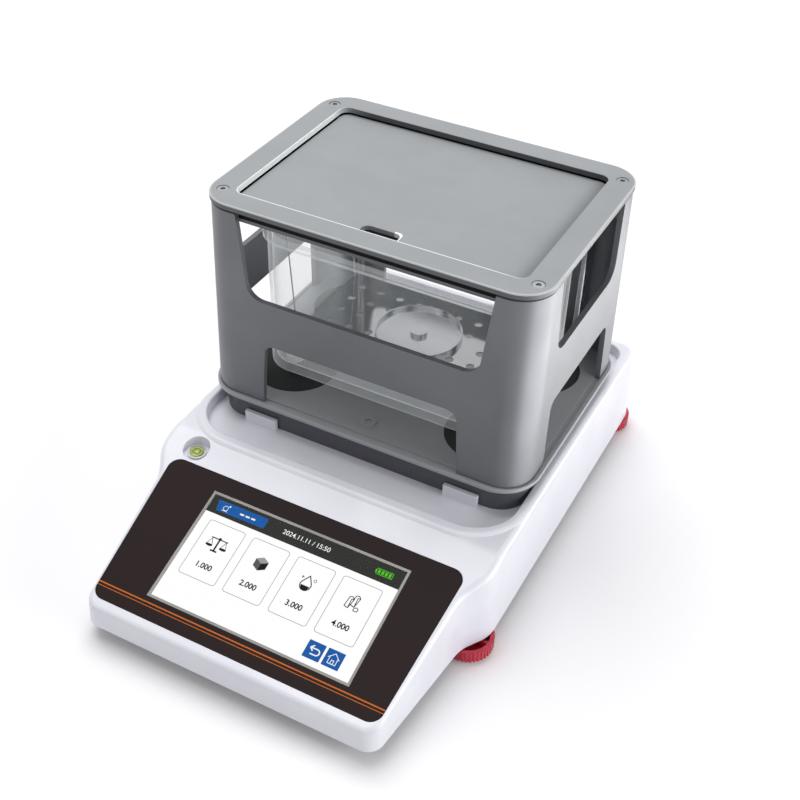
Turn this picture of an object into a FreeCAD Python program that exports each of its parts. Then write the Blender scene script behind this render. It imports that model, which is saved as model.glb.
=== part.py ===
import FreeCAD, Part
import Sketcher
import math
import os
import re

# Benchtop density meter: a low console with a sloping touch screen, a rear block that carries
# a splash tray, and a draft shield with a hinged flap over a clear immersion tank.
# Frame: X to the right, Y to the back, Z up, origin on the table under the middle.

doc = FreeCAD.newDocument("DensityMeter")
sheet = doc.addObject("Spreadsheet::Sheet", "Sizes")
levels = doc.addObject("App::VarSet", "Levels")

# Driving sizes in millimetres and degrees: alias, value, meaning
SIZES = [
    ("pad_radius", 14, "rubber pad under each foot"),
    ("pad_height", 3, "rubber pad, table to wheel"),
    ("pad_spigot", 3, "radius of the pad's spigot in the wheel"),
    ("wheel_radius", 18.5, "levelling wheel"),
    ("wheel_height", 9, "levelling wheel"),
    ("wheel_gap", 0.6, "wheel to housing with the foot screwed in"),
    ("wheel_rim", 3.2, "wall of the wheel's rim"),
    ("wheel_web", 2.6, "floor of the wheel's dish"),
    ("wheel_hub", 7, "radius of the wheel's hub"),
    ("wheel_spoke", 2.4, "thickness of the wheel's spokes"),
    ("knurl_count", 40, "grooves round the wheel"),
    ("knurl_radius", 0.8, "radius of one groove"),
    ("stud_radius", 4, "levelling stud"),
    ("stud_reach", 11, "stud above the wheel"),
    ("stud_play", 0.05, "running clearance of stud in insert"),
    ("insert_radius", 5.6, "brass insert"),
    ("insert_height", 9, "brass insert"),
    ("front_foot_side", 14.5, "front feet inside the side wall"),
    ("front_foot_from_front", 120, "front feet behind the front edge"),
    ("rear_foot_side", 16, "rear feet inside the side wall"),
    ("rear_foot_from_rear", 11.5, "rear feet ahead of the rear wall"),
    ("body_half_width", 137, "rear block at the bottom edge"),
    ("body_depth", 409, "housing at the bottom edge"),
    ("console_front_inset", 23, "console's front inside the rear block, each side"),
    ("console_neck_inset", 12.9, "console's neck inside the rear block, each side"),
    ("neck_start", 103.5, "front edge to the start of the neck"),
    ("neck_end", 124, "front edge to the end of the neck"),
    ("console_corner", 12, "front corners in plan"),
    ("neck_radius", 28, "curves of the neck in plan"),
    ("rear_corner", 11, "rear corners in plan"),
    ("wall_draft", 2.5, "draft of the housing walls, degrees"),
    ("housing_wall", 3, "housing wall"),
    ("deck_height", 65.5, "bottom edge to the flat of the deck"),
    ("shelf_drop", 7.9, "deck down to the tray shelf"),
    ("bead_rise", 1.5, "bead above the deck"),
    ("bead_from_front", 138, "front edge to the bead"),
    ("bead_corner", 43, "bead corners in plan"),
    ("bead_round", 5, "outer rounding of the bead"),
    ("bead_inner_round", 1.4, "inner rounding of the bead"),
    ("bead_depth", 6, "bead below the shelf"),
    ("shelf_side", 11, "side wall to the tray shelf"),
    ("shelf_from_front", 149.4, "front edge to the tray shelf"),
    ("shelf_from_rear", 10.4, "rear wall to the tray shelf"),
    ("shelf_corner", 33, "front corners of the shelf"),
    ("shelf_rear_corner", 14, "rear corners of the shelf"),
    ("console_round", 4.5, "rounding of the console's top edges"),
    ("crease_round", 30, "blend from slope to deck"),
    ("slope_angle", 18.3, "tilt of the screen, degrees"),
    ("screen_from_front", 64.44, "front edge to the screen's middle"),
    ("screen_height", 39.86, "bottom edge to the screen's middle"),
    ("overlay_front_side", 2.9, "front corners of the overlay inside the console"),
    ("overlay_back_side", 5.4, "rear corners of the overlay inside the neck"),
    ("overlay_ahead", 59.8, "overlay ahead of the screen's middle"),
    ("overlay_behind", 57.5, "overlay behind the screen's middle"),
    ("overlay_corner", 9, "overlay corners"),
    ("overlay_thick", 1.5, "touch overlay"),
    ("overlay_play", 0.25, "gap round the overlay"),
    ("screen_x", 4.2, "screen right of the middle"),
    ("bezel_width", 158, "screen frame outside"),
    ("bezel_length", 88.9, "screen frame outside, along the slope"),
    ("bezel_border", 1.9, "screen frame's border"),
    ("bezel_play", 0.2, "gap round the screen frame"),
    ("glass_thick", 0.8, "screen glass"),
    ("glass_play", 0.2, "gap round the screen glass"),
    ("glass_sink", 0.2, "screen glass below the overlay"),
    ("lcd_overlap", 4, "display module past its frame"),
    ("lcd_thick", 4.5, "display module"),
    ("board_thick", 1.6, "circuit boards"),
    ("display_board_inset", 6, "display board inside the module's edge"),
    ("strap_width", 12, "display straps"),
    ("strap_thick", 1.5, "display straps"),
    ("strap_from_middle", 60, "straps from the screen's middle"),
    ("display_boss", 4, "radius of the display bosses"),
    ("small_screw", 1.5, "radius of the small screws"),
    ("small_head", 3, "radius of the small screws' heads"),
    ("head_height", 2, "small screws' heads"),
    ("inner_screw_length", 4, "small screws inside, under their heads"),
    ("socket_depth", 1.1, "drive sockets in screw heads"),
    ("screw_play", 0.1, "hole round a screw"),
    ("display_screw_grip", 6, "display screw in its boss"),
    ("level_side", 17.5, "level inside the neck's side"),
    ("level_from_front", 130.4, "front edge to the level"),
    ("level_well", 10.2, "radius of the level's well"),
    ("level_well_depth", 5, "depth of the level's well"),
    ("level_ring_radius", 7, "level's ring"),
    ("level_ring_height", 1.6, "level's ring above the well's floor"),
    ("level_radius", 5.4, "level's vial"),
    ("level_dome", 0.9, "crown of the vial"),
    ("level_sink", 2.2, "vial below the well's floor"),
    ("tab_side", 43, "locator tabs inside the shelf's side"),
    ("tab_length", 27, "locator tabs"),
    ("tab_thick", 3.6, "locator tabs"),
    ("tab_height", 9.5, "locator tabs above the shelf"),
    ("tab_gap", 0.4, "tab to tray"),
    ("cover_recess", 0.5, "bottom cover above the housing's edge"),
    ("cover_thick", 3, "bottom cover"),
    ("cover_play", 0.3, "gap round the bottom cover"),
    ("post_radius", 4.5, "screw posts of the housing"),
    ("post_front_side", 14, "front screw posts inside the console's front"),
    ("post_front_y", 18, "front screw posts behind the front edge"),
    ("post_neck_side", 14.1, "neck screw posts inside the neck"),
    ("post_neck_y", 92, "neck screw posts behind the front edge"),
    ("post_side_inset", 13, "side screw posts inside the side wall"),
    ("post_side_y", 110, "side screw posts ahead of the rear wall"),
    ("post_rear_side", 29, "rear screw posts inside the rear feet"),
    ("post_rear_y", 13, "rear screw posts ahead of the rear wall"),
    ("insert_boss", 6.9, "bosses round the brass inserts"),
    ("cover_screw_grip", 12, "cover screws in their posts"),
    ("board_gap", 28, "main board from the middle"),
    ("board_side", 25, "main board inside the side wall"),
    ("board_length", 110, "main board"),
    ("board_behind_neck", 30, "main board behind the neck"),
    ("standoff_height", 6, "main board above the cover"),
    ("standoff_radius", 3.2, "standoffs of the main board"),
    ("board_margin", 5, "board screws from the board's edge"),
    ("chip_height", 3, "parts on the main board"),
    ("battery_gap", 39, "battery pack from the middle"),
    ("battery_length", 90, "battery pack"),
    ("battery_height", 38, "battery pack"),
    ("battery_corner", 4, "battery pack"),
    ("battery_side", 28, "battery pack inside the side wall"),
    ("battery_strap_width", 14, "battery strap"),
    ("battery_strap_thick", 1.2, "battery strap"),
    ("strap_gap", 0.3, "battery strap round the battery"),
    ("strap_foot", 9, "feet of the battery strap"),
    ("cell_width", 20, "load cell"),
    ("cell_height", 18, "load cell"),
    ("cell_length", 110, "load cell"),
    ("cell_grip", 28, "clamped ends of the load cell"),
    ("cell_bore", 6, "radius of the load cell's bores"),
    ("cell_base_height", 8, "block under the load cell's fixed end"),
    ("cell_spacer_height", 4, "pad of the weighing frame on the load cell"),
    ("cell_slot", 1.5, "half height of the slot between the bores"),
    ("cell_bore_apart", 12, "bores from the load cell's middle"),
    ("cell_screw", 2, "radius of the load cell's screws"),
    ("cell_screw_head", 3.5, "load cell screws' heads"),
    ("cell_screw_head_height", 3, "load cell screws' heads"),
    ("cell_screw_inset", 7, "screws from the ends of a clamped part"),
    ("stop_radius", 4, "overload stops"),
    ("stop_x", 60, "overload stops from the middle"),
    ("frame_thick", 4, "weighing frame"),
    ("frame_width", 16, "weighing frame's bar"),
    ("frame_stem", 24, "weighing frame's stem"),
    ("weigh_travel", 0.3, "how far the load cell gives"),
    ("riser_side", 1, "risers inside the tank's side"),
    ("riser_gap", 13.5, "tank's back to the risers"),
    ("riser_radius", 3, "risers"),
    ("riser_hole", 5.5, "holes round the risers"),
    ("tray_overhang", 5.5, "tray rim past the shelf's side"),
    ("tray_end_gap", 26.6, "tray rim inside the shelf's ends"),
    ("tray_corner", 30, "tray corners"),
    ("tray_plate", 3, "tray plate"),
    ("tray_height", 25, "shelf to the tray's top"),
    ("tray_edge", 0.8, "rounding of the tray's rim"),
    ("skirt_inset", 7, "tray skirt inside the rim"),
    ("skirt_wall", 3, "tray skirt"),
    ("groove_depth", 1, "groove for the shield's foot"),
    ("groove_play", 0.3, "gap each side of the shield's foot"),
    ("tank_pad_radius", 32.5, "round pads under the tank's feet"),
    ("tank_pad_height", 1, "round pads"),
    ("tank_pad_play", 0.25, "gap round the pads"),
    ("tank_foot_side", 15.5, "tank feet inside the tank's side"),
    ("tank_foot_end", 23.5, "tank feet inside the tank's front and back"),
    ("tray_screw_end", 20, "tray screws inside the tray's front and back"),
    ("tray_screw_head", 5.8, "tray screws' heads"),
    ("tray_screw_radius", 2, "tray screws"),
    ("tank_side_gap", 31.3, "shield's foot to the tank, each side"),
    ("tank_end_gap", 26.3, "shield's foot to the tank, front and back"),
    ("tank_corner", 22, "tank corners"),
    ("tank_wall", 3, "tank wall"),
    ("tank_floor", 4, "tank floor"),
    ("tank_height", 112.5, "tank"),
    ("tank_lift", 12.4, "tank above the tray"),
    ("tank_rim", 3, "tank rim beyond its wall"),
    ("tank_rim_height", 3.5, "tank rim"),
    ("tank_edge", 1.5, "rounding of the tank's bottom"),
    ("tank_foot_radius", 7.3, "tank feet"),
    ("tank_nut_height", 4.6, "rings over the tank's feet"),
    ("tank_nut_hole", 4, "hole in the rings"),
    ("sink_side_gap", 15, "immersed plate inside the tank's side"),
    ("sink_end_gap", 18.5, "immersed plate inside the tank's front and back"),
    ("sink_corner", 10, "immersed plate"),
    ("sink_thick", 1.2, "immersed plate"),
    ("sink_lift", 13, "immersed plate above the tank's floor"),
    ("sink_hole", 3.2, "radius of the plate's holes"),
    ("sink_pitch", 17, "spacing of the plate's holes"),
    ("dish_radius", 33, "immersed dish"),
    ("dish_depth", 4, "immersed dish"),
    ("dish_thick", 1, "immersed dish"),
    ("dish_boss", 6.5, "raised middle of the dish"),
    ("hanger_radius", 0.5, "hanger wires"),
    ("hanger_end", 6, "hanger wires inside the plate's front and back"),
    ("hanger_side", 9, "top of the hanger wires inside the tank's side"),
    ("hanger_foot_side", 2, "foot of the hanger wires inside the plate's side"),
    ("bracket_thick", 3, "bracket over the tank"),
    ("bracket_gap", 4, "bracket above the tank's rim"),
    ("bracket_arm", 10, "width of the bracket's arms"),
    ("bracket_ring", 26, "radius of the bracket's middle ring"),
    ("pan_radius", 42, "upper pan"),
    ("pan_depth", 5, "upper pan"),
    ("pan_thick", 1, "upper pan"),
    ("shield_inset", 3.2, "shield's foot inside the tray rim"),
    ("shield_draft", 0.8, "draft of the shield, degrees"),
    ("shield_corner", 24, "shield corners"),
    ("shield_wall", 4, "shield wall"),
    ("shield_height", 154.4, "shield wall"),
    ("window_top_side", 31.8, "front window's top inside the shield's side"),
    ("window_foot_side", 39.8, "front window's sill inside the shield's side"),
    ("window_drop", 65.3, "front window, wall top to sill"),
    ("window_corner", 13, "window corners"),
    ("side_window_top_end", 38.3, "side window's top inside the shield's ends"),
    ("side_window_foot_end", 40.8, "side window's sill inside the shield's ends"),
    ("side_window_drop", 59.5, "side window, wall top to sill"),
    ("door_foot_side", 49, "front arch's foot inside the shield's side"),
    ("door_top_side", 52.5, "front arch's top inside the shield's side"),
    ("side_door_foot_end", 38.3, "side arch's foot inside the shield's ends"),
    ("side_door_top_end", 41.3, "side arch's top inside the shield's ends"),
    ("door_height", 52.4, "arches above the tray"),
    ("door_corner", 8, "corners of the arches"),
    ("lid_screw_side", 10.5, "lid screws inside the lid's side"),
    ("lid_screw_end", 17.9, "lid screws inside the lid's front and back"),
    ("lid_boss_radius", 7, "bosses for the lid screws"),
    ("lid_boss_height", 22, "bosses for the lid screws"),
    ("lid_screw_radius", 2, "lid screws"),
    ("lid_screw_head", 4, "lid screws' heads"),
    ("lid_screw_grip", 12, "lid screw in its boss"),
    ("lid_sink", 2.4, "depth of the lid's counterbores"),
    ("lid_sink_play", 0.4, "gap round the screw heads"),
    ("lid_overhang", 0.7, "lid past the top of the shield"),
    ("lid_corner", 24, "lid corners"),
    ("lid_thick", 4, "lid plate"),
    ("lid_edge", 0.8, "rounding of the lid's edge"),
    ("seal_thick", 1, "seal between lid and wall"),
    ("opening_side", 19, "lid opening inside the lid's side"),
    ("opening_end", 17.9, "lid opening inside the lid's front and back"),
    ("opening_corner", 7, "lid opening"),
    ("opening_step", 0.5, "frame pocket outside the lid opening"),
    ("flap_play", 0.5, "gap round the flap"),
    ("flap_thick", 3.2, "flap"),
    ("flap_barrel", 2.6, "radius of the flap's hinge barrel"),
    ("flap_hinge_inset", 9, "hinge axis inside the flap's edge"),
    ("notch_half_width", 14, "finger notch"),
    ("notch_depth", 15, "finger notch"),
    ("notch_corner", 5, "finger notch"),
    ("pin_radius", 1.5, "hinge pins"),
    ("pin_length", 10, "hinge pins"),
    ("pin_play", 0.05, "running clearance of the pins"),
    ("inner_frame_height", 5.8, "frame under the lid"),
    ("frame_skirt_height", 9.2, "skirt of the frame under the lid"),
    ("frame_skirt_thick", 2.5, "skirt of the frame under the lid"),
    ("inner_frame_play", 0.3, "gap between frame and shield"),
    ("ledge_width", 3.8, "ledge under the flap"),
    ("rear_slot_side", 26, "rear screw posts to the ends of the connector slot"),
    ("rear_slot_low", 9, "slot above the bottom edge"),
    ("rear_slot_high", 37, "top of the slot above the bottom edge"),
    ("rear_panel_thick", 2, "rear connector panel"),
    ("rear_panel_gap", 0.3, "panel to wall"),
    ("rear_panel_margin", 3, "panel past its slot"),
    ("rear_panel_foot", 12, "foot of the rear panel"),
    ("jack_radius", 5.5, "power jack"),
    ("jack_bore", 2.75, "bore of the power jack"),
    ("jack_pin", 1, "pin of the power jack"),
    ("jack_depth", 12, "power jack"),
    ("jack_nose", 3, "power jack behind the panel"),
    ("jack_pin_sink", 1, "pin inside the jack's mouth"),
    ("port_half_width", 15.4, "serial port flange"),
    ("port_half_height", 6.2, "serial port flange"),
    ("port_depth", 9, "serial port"),
    ("port_shell_half_width", 8.4, "serial port shell"),
    ("port_shell_half_height", 4.2, "serial port shell"),
    ("port_shell_wall", 0.8, "serial port shell"),
    ("port_nose", 5, "serial port shell behind the panel"),
    ("port_pin", 0.5, "pins of the serial port"),
    ("port_pin_pitch", 2.76, "pins of the serial port"),
    ("port_row", 1.42, "pin rows from the middle"),
    ("switch_half_width", 10.5, "power switch frame"),
    ("switch_half_height", 7.5, "power switch frame"),
    ("switch_border", 2.6, "power switch frame"),
    ("switch_depth", 14, "power switch"),
    ("switch_throw", 8, "rocker each way, degrees"),
    ("rocker_play", 0.6, "gap round the rocker"),
    ("rocker_sink", 2.4, "rocker's axis inside the frame"),
    ("rocker_face", 2.6, "rocker's faces from its axis"),
    ("rocker_pin", 1, "radius of the rocker's trunnions"),
    ("rocker_pin_reach", 1.3, "rocker's trunnions"),
    ("flange_thick", 1.5, "flanges on the rear panel"),
    ("overrun", 5, "tools past the faces that they cut"),
]
# Parts on the main board as shares of it: across, along, half width, half length, height in chips
CHIP_SHARES = [(0.08, 0.12, 0.13, 0.1, 1), (-0.27, 0.35, 0.09, 0.07, 1), (0.22, 0.5, 0.07, 0.13, 0.8),
               (-0.15, 0.62, 0.12, 0.05, 2), (0.1, 0.92, 0.3, 0.035, 3), (-0.36, 0.8, 0.05, 0.09, 3)]
known = {}
for line, (alias, value, meaning) in enumerate(SIZES, 1):
    sheet.set(f"A{line}", alias)
    sheet.set(f"B{line}", str(value))
    sheet.set(f"C{line}", meaning)
    sheet.setAlias(f"B{line}", alias)
    known[alias] = "Sizes." + alias
doc.recompute()


def formula(text):
    return re.sub(r"[a-z][a-z0-9_]*", lambda hit: known.get(hit.group(), hit.group()), text)


def derive(name, text):
    levels.addProperty("App::PropertyFloat", name, "Levels", "")
    levels.setExpression(name, formula(text))
    known[name] = "Levels." + name


def number(name):
    holder = sheet if known[name].startswith("Sizes") else levels
    return float(getattr(holder, name))


# Levels and places that several pieces share
derive("body_bottom", "pad_height + wheel_height + wheel_gap")
derive("front_y", "-(body_depth + wheel_radius - rear_foot_from_rear) / 2")
derive("rear_y", "front_y + body_depth")
derive("deck_z", "body_bottom + deck_height")
derive("shelf_z", "deck_z - shelf_drop")
derive("crest_z", "deck_z + bead_rise")
derive("cover_low", "body_bottom + cover_recess")
derive("cover_top", "cover_low + cover_thick")
derive("rise", "tan(slope_angle)")
derive("slope_cos", "cos(slope_angle)")
derive("slope_sin", "sin(slope_angle)")
derive("screen_y", "front_y + screen_from_front")
derive("screen_z", "body_bottom + screen_height")
derive("meet_y", "screen_y + (deck_z - screen_z) / rise")
derive("shelf_half_width", "body_half_width - shelf_side")
derive("shelf_half_depth", "(body_depth - shelf_from_front - shelf_from_rear) / 2")
derive("middle_y", "front_y + shelf_from_front + shelf_half_depth")
derive("console_front_half", "body_half_width - console_front_inset")
derive("console_neck_half", "body_half_width - console_neck_inset")
derive("overlay_front_half", "console_front_half - overlay_front_side")
derive("overlay_back_half", "console_neck_half - overlay_back_side")
derive("front_foot_x", "body_half_width - front_foot_side")
derive("rear_foot_x", "body_half_width - rear_foot_side")
derive("level_x", "console_neck_half - level_side")
derive("tab_x", "shelf_half_width - tab_side")
derive("post_front_x", "console_front_half - post_front_side")
derive("post_neck_x", "console_neck_half - post_neck_side")
derive("post_side_x", "body_half_width - post_side_inset")
derive("post_rear_x", "rear_foot_x - post_rear_side")
derive("rear_slot_half", "post_rear_x - rear_slot_side")
derive("connector_x", "(port_half_width + rear_slot_half) / 2")
derive("board_width", "body_half_width - board_side - board_gap")
derive("board_from_middle", "board_gap + board_width / 2")
derive("battery_width", "body_half_width - battery_side - battery_gap")
derive("battery_x", "battery_gap + battery_width / 2")
derive("tray_half_width", "shelf_half_width + tray_overhang")
derive("tray_half_depth", "shelf_half_depth - tray_end_gap")
derive("tray_screw_y", "tray_half_depth - tray_screw_end")
derive("shield_foot_half_width", "tray_half_width - shield_inset")
derive("shield_foot_half_depth", "tray_half_depth - shield_inset")
derive("tray_top", "shelf_z + tray_height")
derive("shield_foot", "tray_top - groove_depth")
derive("wall_top", "shield_foot + shield_height")
derive("lid_under", "wall_top + seal_thick")
derive("lid_top", "lid_under + lid_thick")
derive("shield_top_half_width", "shield_foot_half_width - shield_height * tan(shield_draft)")
derive("shield_top_half_depth", "shield_foot_half_depth - shield_height * tan(shield_draft)")
derive("lid_half_width", "shield_top_half_width + lid_overhang")
derive("lid_half_depth", "shield_top_half_depth + lid_overhang")
derive("lid_screw_x", "lid_half_width - lid_screw_side")
derive("lid_screw_y", "lid_half_depth - lid_screw_end")
derive("opening_half_width", "lid_half_width - opening_side")
derive("opening_half_depth", "lid_half_depth - opening_end")
derive("window_top_half", "shield_foot_half_width - window_top_side")
derive("window_foot_half", "shield_foot_half_width - window_foot_side")
derive("door_foot_half", "shield_foot_half_width - door_foot_side")
derive("door_top_half", "shield_foot_half_width - door_top_side")
derive("side_window_top_half", "shield_foot_half_depth - side_window_top_end")
derive("side_window_foot_half", "shield_foot_half_depth - side_window_foot_end")
derive("side_door_foot_half", "shield_foot_half_depth - side_door_foot_end")
derive("side_door_top_half", "shield_foot_half_depth - side_door_top_end")
derive("tank_half_width", "shield_foot_half_width - tank_side_gap")
derive("tank_half_depth", "shield_foot_half_depth - tank_end_gap")
derive("tank_pad_x", "tank_half_width - tank_foot_side")
derive("tank_pad_y", "tank_half_depth - tank_foot_end")
derive("sink_half_width", "tank_half_width - sink_side_gap")
derive("sink_half_depth", "tank_half_depth - sink_end_gap")
derive("hanger_x", "tank_half_width - hanger_side")
derive("hanger_foot_x", "sink_half_width - hanger_foot_side")
derive("hanger_y", "sink_half_depth - hanger_end")
derive("riser_x", "tank_half_width - riser_side")
derive("tank_bottom", "tray_top + tank_lift")
derive("tank_top", "tank_bottom + tank_height")
derive("sink_z", "tank_bottom + tank_floor + sink_lift")
derive("bracket_z", "tank_top + bracket_gap")
derive("bracket_top", "bracket_z + bracket_thick")
derive("cell_z", "cover_top + cell_base_height")
derive("frame_z", "cell_z + cell_height + weigh_travel + cell_spacer_height")
derive("riser_y", "middle_y + tank_half_depth + riser_gap")
derive("cell_end", "riser_y - frame_width / 2 + cell_grip - frame_stem")
derive("hinge_y", "middle_y + opening_half_depth - flap_play - flap_hinge_inset")
derive("hinge_z", "wall_top - flap_barrel")
doc.recompute()


def bind(item, bindings):
    for name, text in bindings.items():
        item.setExpression(name, formula(text))
    return item


def place(item, x, y, z):
    return bind(item, {"Placement.Base.x": x, "Placement.Base.y": y, "Placement.Base.z": z})


def block(name, x, y, z):
    item = doc.addObject("Part::Box", name)
    bind(item, {"Length": f"({x[1]}) - ({x[0]})", "Width": f"({y[1]}) - ({y[0]})"})
    bind(item, {"Height": f"({z[1]}) - ({z[0]})"})
    return place(item, x[0], y[0], z[0])


def rod(name, radius, length, x, y, z, turn=None):
    item = doc.addObject("Part::Cylinder", name)
    if turn:
        item.Placement = FreeCAD.Placement(FreeCAD.Vector(), turn)
    bind(item, {"Radius": radius, "Height": length})
    return place(item, x, y, z)


ALONG_X = FreeCAD.Rotation(FreeCAD.Vector(0, 1, 0), 90)
ALONG_Y = FreeCAD.Rotation(FreeCAD.Vector(1, 0, 0), -90)


def fuse(name, *parts):
    item = doc.addObject("Part::MultiFuse", name)
    item.Shapes = list(parts)
    return item


def cut(name, base, *tools):
    item = doc.addObject("Part::Cut", name)
    item.Base = base
    item.Tool = tools[0] if len(tools) == 1 else fuse(name + "_tools", *tools)
    return item


def group(name, parts):
    item = doc.addObject("Part::Compound", name)
    item.Links = list(parts)
    return item


def edges_where(shape, test):
    return [f"Edge{i}" for i, edge in enumerate(shape.Edges, 1) if test(edge)]


def is_upright(edge):
    ends = [v.Point for v in edge.Vertexes]
    if len(ends) < 2:
        return False
    run = ends[1] - ends[0]
    return abs(run.z) > 2 * math.hypot(run.x, run.y)


def lies_at(edge, y, slack=0.01):
    return abs(edge.BoundBox.YMin - y) < slack and abs(edge.BoundBox.YMax - y) < slack


def at_level(z, slack=0.01):
    return lambda edge: abs(edge.BoundBox.ZMin - z) < slack and abs(edge.BoundBox.ZMax - z) < slack


def round_edges(body, base, test, radius):
    base.recompute(True)
    names = edges_where(base.Shape, test)
    if not names:
        raise RuntimeError(f"{body.Label}: no edges to round on {base.Name}")
    item = body.newObject("PartDesign::Fillet", f"{body.Name}_round{len(body.Group)}")
    item.Base = (base, names)
    item.setExpression("Radius", formula(radius))
    item.recompute(True)
    body.Tip = item
    return item


def soft_block(name, x, y, z, corner, top=None, bottom=None, rear_corner=None):
    body = doc.addObject("PartDesign::Body", name)
    base = body.newObject("PartDesign::AdditiveBox", name + "_block")
    bind(base, {"Length": f"({x[1]}) - ({x[0]})", "Width": f"({y[1]}) - ({y[0]})"})
    bind(base, {"Height": f"({z[1]}) - ({z[0]})"})
    place(body, x[0], y[0], z[0])
    base.recompute(True)
    box = base.Shape.BoundBox
    tip = base
    for row, radius in ((box.YMin, corner), (box.YMax, rear_corner or corner)):
        tip = round_edges(body, tip, lambda edge: is_upright(edge) and lies_at(edge, row), radius)
    if top:
        tip = round_edges(body, tip, at_level(box.ZMax), top)
    if bottom:
        tip = round_edges(body, tip, at_level(box.ZMin), bottom)
    return body


def around(half, centre="0"):
    return (f"{centre} - ({half})", f"{centre} + ({half})")


def plane_of(body, role):
    return [part for part in body.Origin.OriginFeatures if part.Role == role][0]


def sketch_outline(body, name, role, corners):
    sketch = body.newObject("Sketcher::SketchObject", name)
    sketch.AttachmentSupport = (plane_of(body, role), [""])
    sketch.MapMode = "FlatFace"
    count = len(corners)
    reach = number("body_half_width")
    turn = [2 * math.pi * i / count for i in range(count)]
    start = [FreeCAD.Vector(reach * math.cos(a), reach * math.sin(a), 0) for a in turn]
    for i in range(count):
        sketch.addGeometry(Part.LineSegment(start[i], start[(i + 1) % count]), False)
    for i in range(count):
        sketch.addConstraint(Sketcher.Constraint("Coincident", i, 2, (i + 1) % count, 1))
    for i, (across, along) in enumerate(corners):
        for kind, text in (("X", across), ("Y", along)):
            seed = getattr(start[i], kind.lower())
            number_of = sketch.addConstraint(Sketcher.Constraint("Distance" + kind, -1, 1, i, 1, seed))
            label = f"corner{i}_{kind.lower()}"
            sketch.renameConstraint(number_of, label)
            sketch.setExpression("Constraints." + label, formula(text))
    sketch.recompute(True)
    return sketch


def prism(name, role, corners, length, draft=None, symmetric=False):
    body = doc.addObject("PartDesign::Body", name)
    sketch = sketch_outline(body, name + "_sketch", role, corners)
    pad = body.newObject("PartDesign::Pad", name + "_pad")
    pad.Profile = sketch
    bind(pad, {"Length": length})
    if symmetric:
        pad.SideType = "Symmetric"
    if draft:
        bind(pad, {"TaperAngle": f"-({draft})"})
    pad.recompute(True)
    body.Tip = pad
    return body


def dressed(name, base, roundings):
    body = doc.addObject("PartDesign::Body", name)
    base.recompute(True)
    body.BaseFeature = base
    body.recompute(True)
    tip = body.Group[0]
    for test, radius in roundings:
        tip = round_edges(body, tip, test, radius)
    return body


def round_corners(body, picks, radius):
    # Rounds the edges that run off the picked corners of the body's own sketch
    sketch = body.Group[0]
    frame = sketch.Placement
    normal = frame.Rotation.multVec(FreeCAD.Vector(0, 0, 1))
    points = [frame.multVec(sketch.Geometry[pick].StartPoint) for pick in picks]

    def test(edge):
        ends = [vertex.Point for vertex in edge.Vertexes]
        if len(ends) < 2:
            return False
        run = ends[1] - ends[0]
        if abs(run.dot(normal)) < 0.9 * run.Length:
            return False
        gaps = [end - point for end in ends for point in points]
        return any((gap - normal * gap.dot(normal)).Length < 0.01 for gap in gaps)

    return round_edges(body, body.Tip, test, radius)


def housing_prism(name, inset, low, high):
    # Housing outline in plan, drawn at the bottom edge and drafted inwards going up
    half_rear = f"body_half_width - {inset}"
    rows = [("front_y + " + inset, f"console_front_half - {inset}"),
            ("front_y + neck_start", f"console_neck_half - {inset}"),
            ("front_y + neck_end", half_rear), ("rear_y - " + inset, half_rear)]
    right = [(half, y) for y, half in rows]
    left = [(f"-({half})", y) for y, half in reversed(rows)]
    body = prism(name, "XY_Plane", right + left, f"({high}) - ({low})", "wall_draft")
    bind(body, {"Placement.Base.z": low})
    round_corners(body, [0, 7], f"console_corner - {inset}")
    round_corners(body, [1, 2, 5, 6], "neck_radius")
    round_corners(body, [3, 4], f"rear_corner - {inset}")
    return body


def slope_wedge(name, sink, drop):
    # All that lies above the screen's slope and the deck, lowered by a wall where asked
    deck = f"deck_z - {drop}"
    anchor = f"screen_z - {sink} / slope_cos"
    start = "front_y - overrun"
    meet = f"screen_y + ({deck} - ({anchor})) / rise"
    corners = [(start, f"{anchor} - (screen_y - ({start})) * rise"), (meet, deck),
               ("rear_y + overrun", deck), ("rear_y + overrun", f"{deck} + body_half_width"),
               (start, f"{deck} + body_half_width")]
    return prism(name, "YZ_Plane", corners, "2 * (body_half_width + overrun)", symmetric=True)


def rim_test(shape):
    # Picks the outer edges of the faces that look up
    up = []
    for face in shape.Faces:
        low, high, left, right = face.ParameterRange
        if face.normalAt((low + high) / 2, (left + right) / 2).z > 0.5:
            up.append(face)

    def test(edge):
        return sum(any(edge.isSame(side) for side in face.Edges) for face in up) == 1

    return test


def slope_item(item, across, along, out):
    # A piece laid on the screen's slope: across it, up along it and out of it
    item.Placement = FreeCAD.Placement(FreeCAD.Vector(),
                                       FreeCAD.Rotation(FreeCAD.Vector(1, 0, 0), number("slope_angle")))
    bind(item, {"Placement.Rotation.Angle": "slope_angle"})
    return place(item, across, f"screen_y + ({along}) * slope_cos - ({out}) * slope_sin",
                 f"screen_z + ({along}) * slope_sin + ({out}) * slope_cos")


def slope_block(name, across, along, out):
    item = doc.addObject("Part::Box", name)
    bind(item, {"Length": f"({across[1]}) - ({across[0]})", "Width": f"({along[1]}) - ({along[0]})"})
    bind(item, {"Height": f"({out[1]}) - ({out[0]})"})
    return slope_item(item, across[0], along[0], out[0])


def slope_rod(name, radius, across, along, out):
    item = doc.addObject("Part::Cylinder", name)
    bind(item, {"Radius": radius, "Height": f"({out[1]}) - ({out[0]})"})
    return slope_item(item, across, along, out[0])


def four(x, y, centre="middle_y"):
    return [(f"{a}({x})", f"{centre} {b} ({y})") for a in ("-", "") for b in ("-", "+")]


nodes = []


def keep(label, item):
    item.Label = label
    nodes.append(item)
    return item


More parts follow.
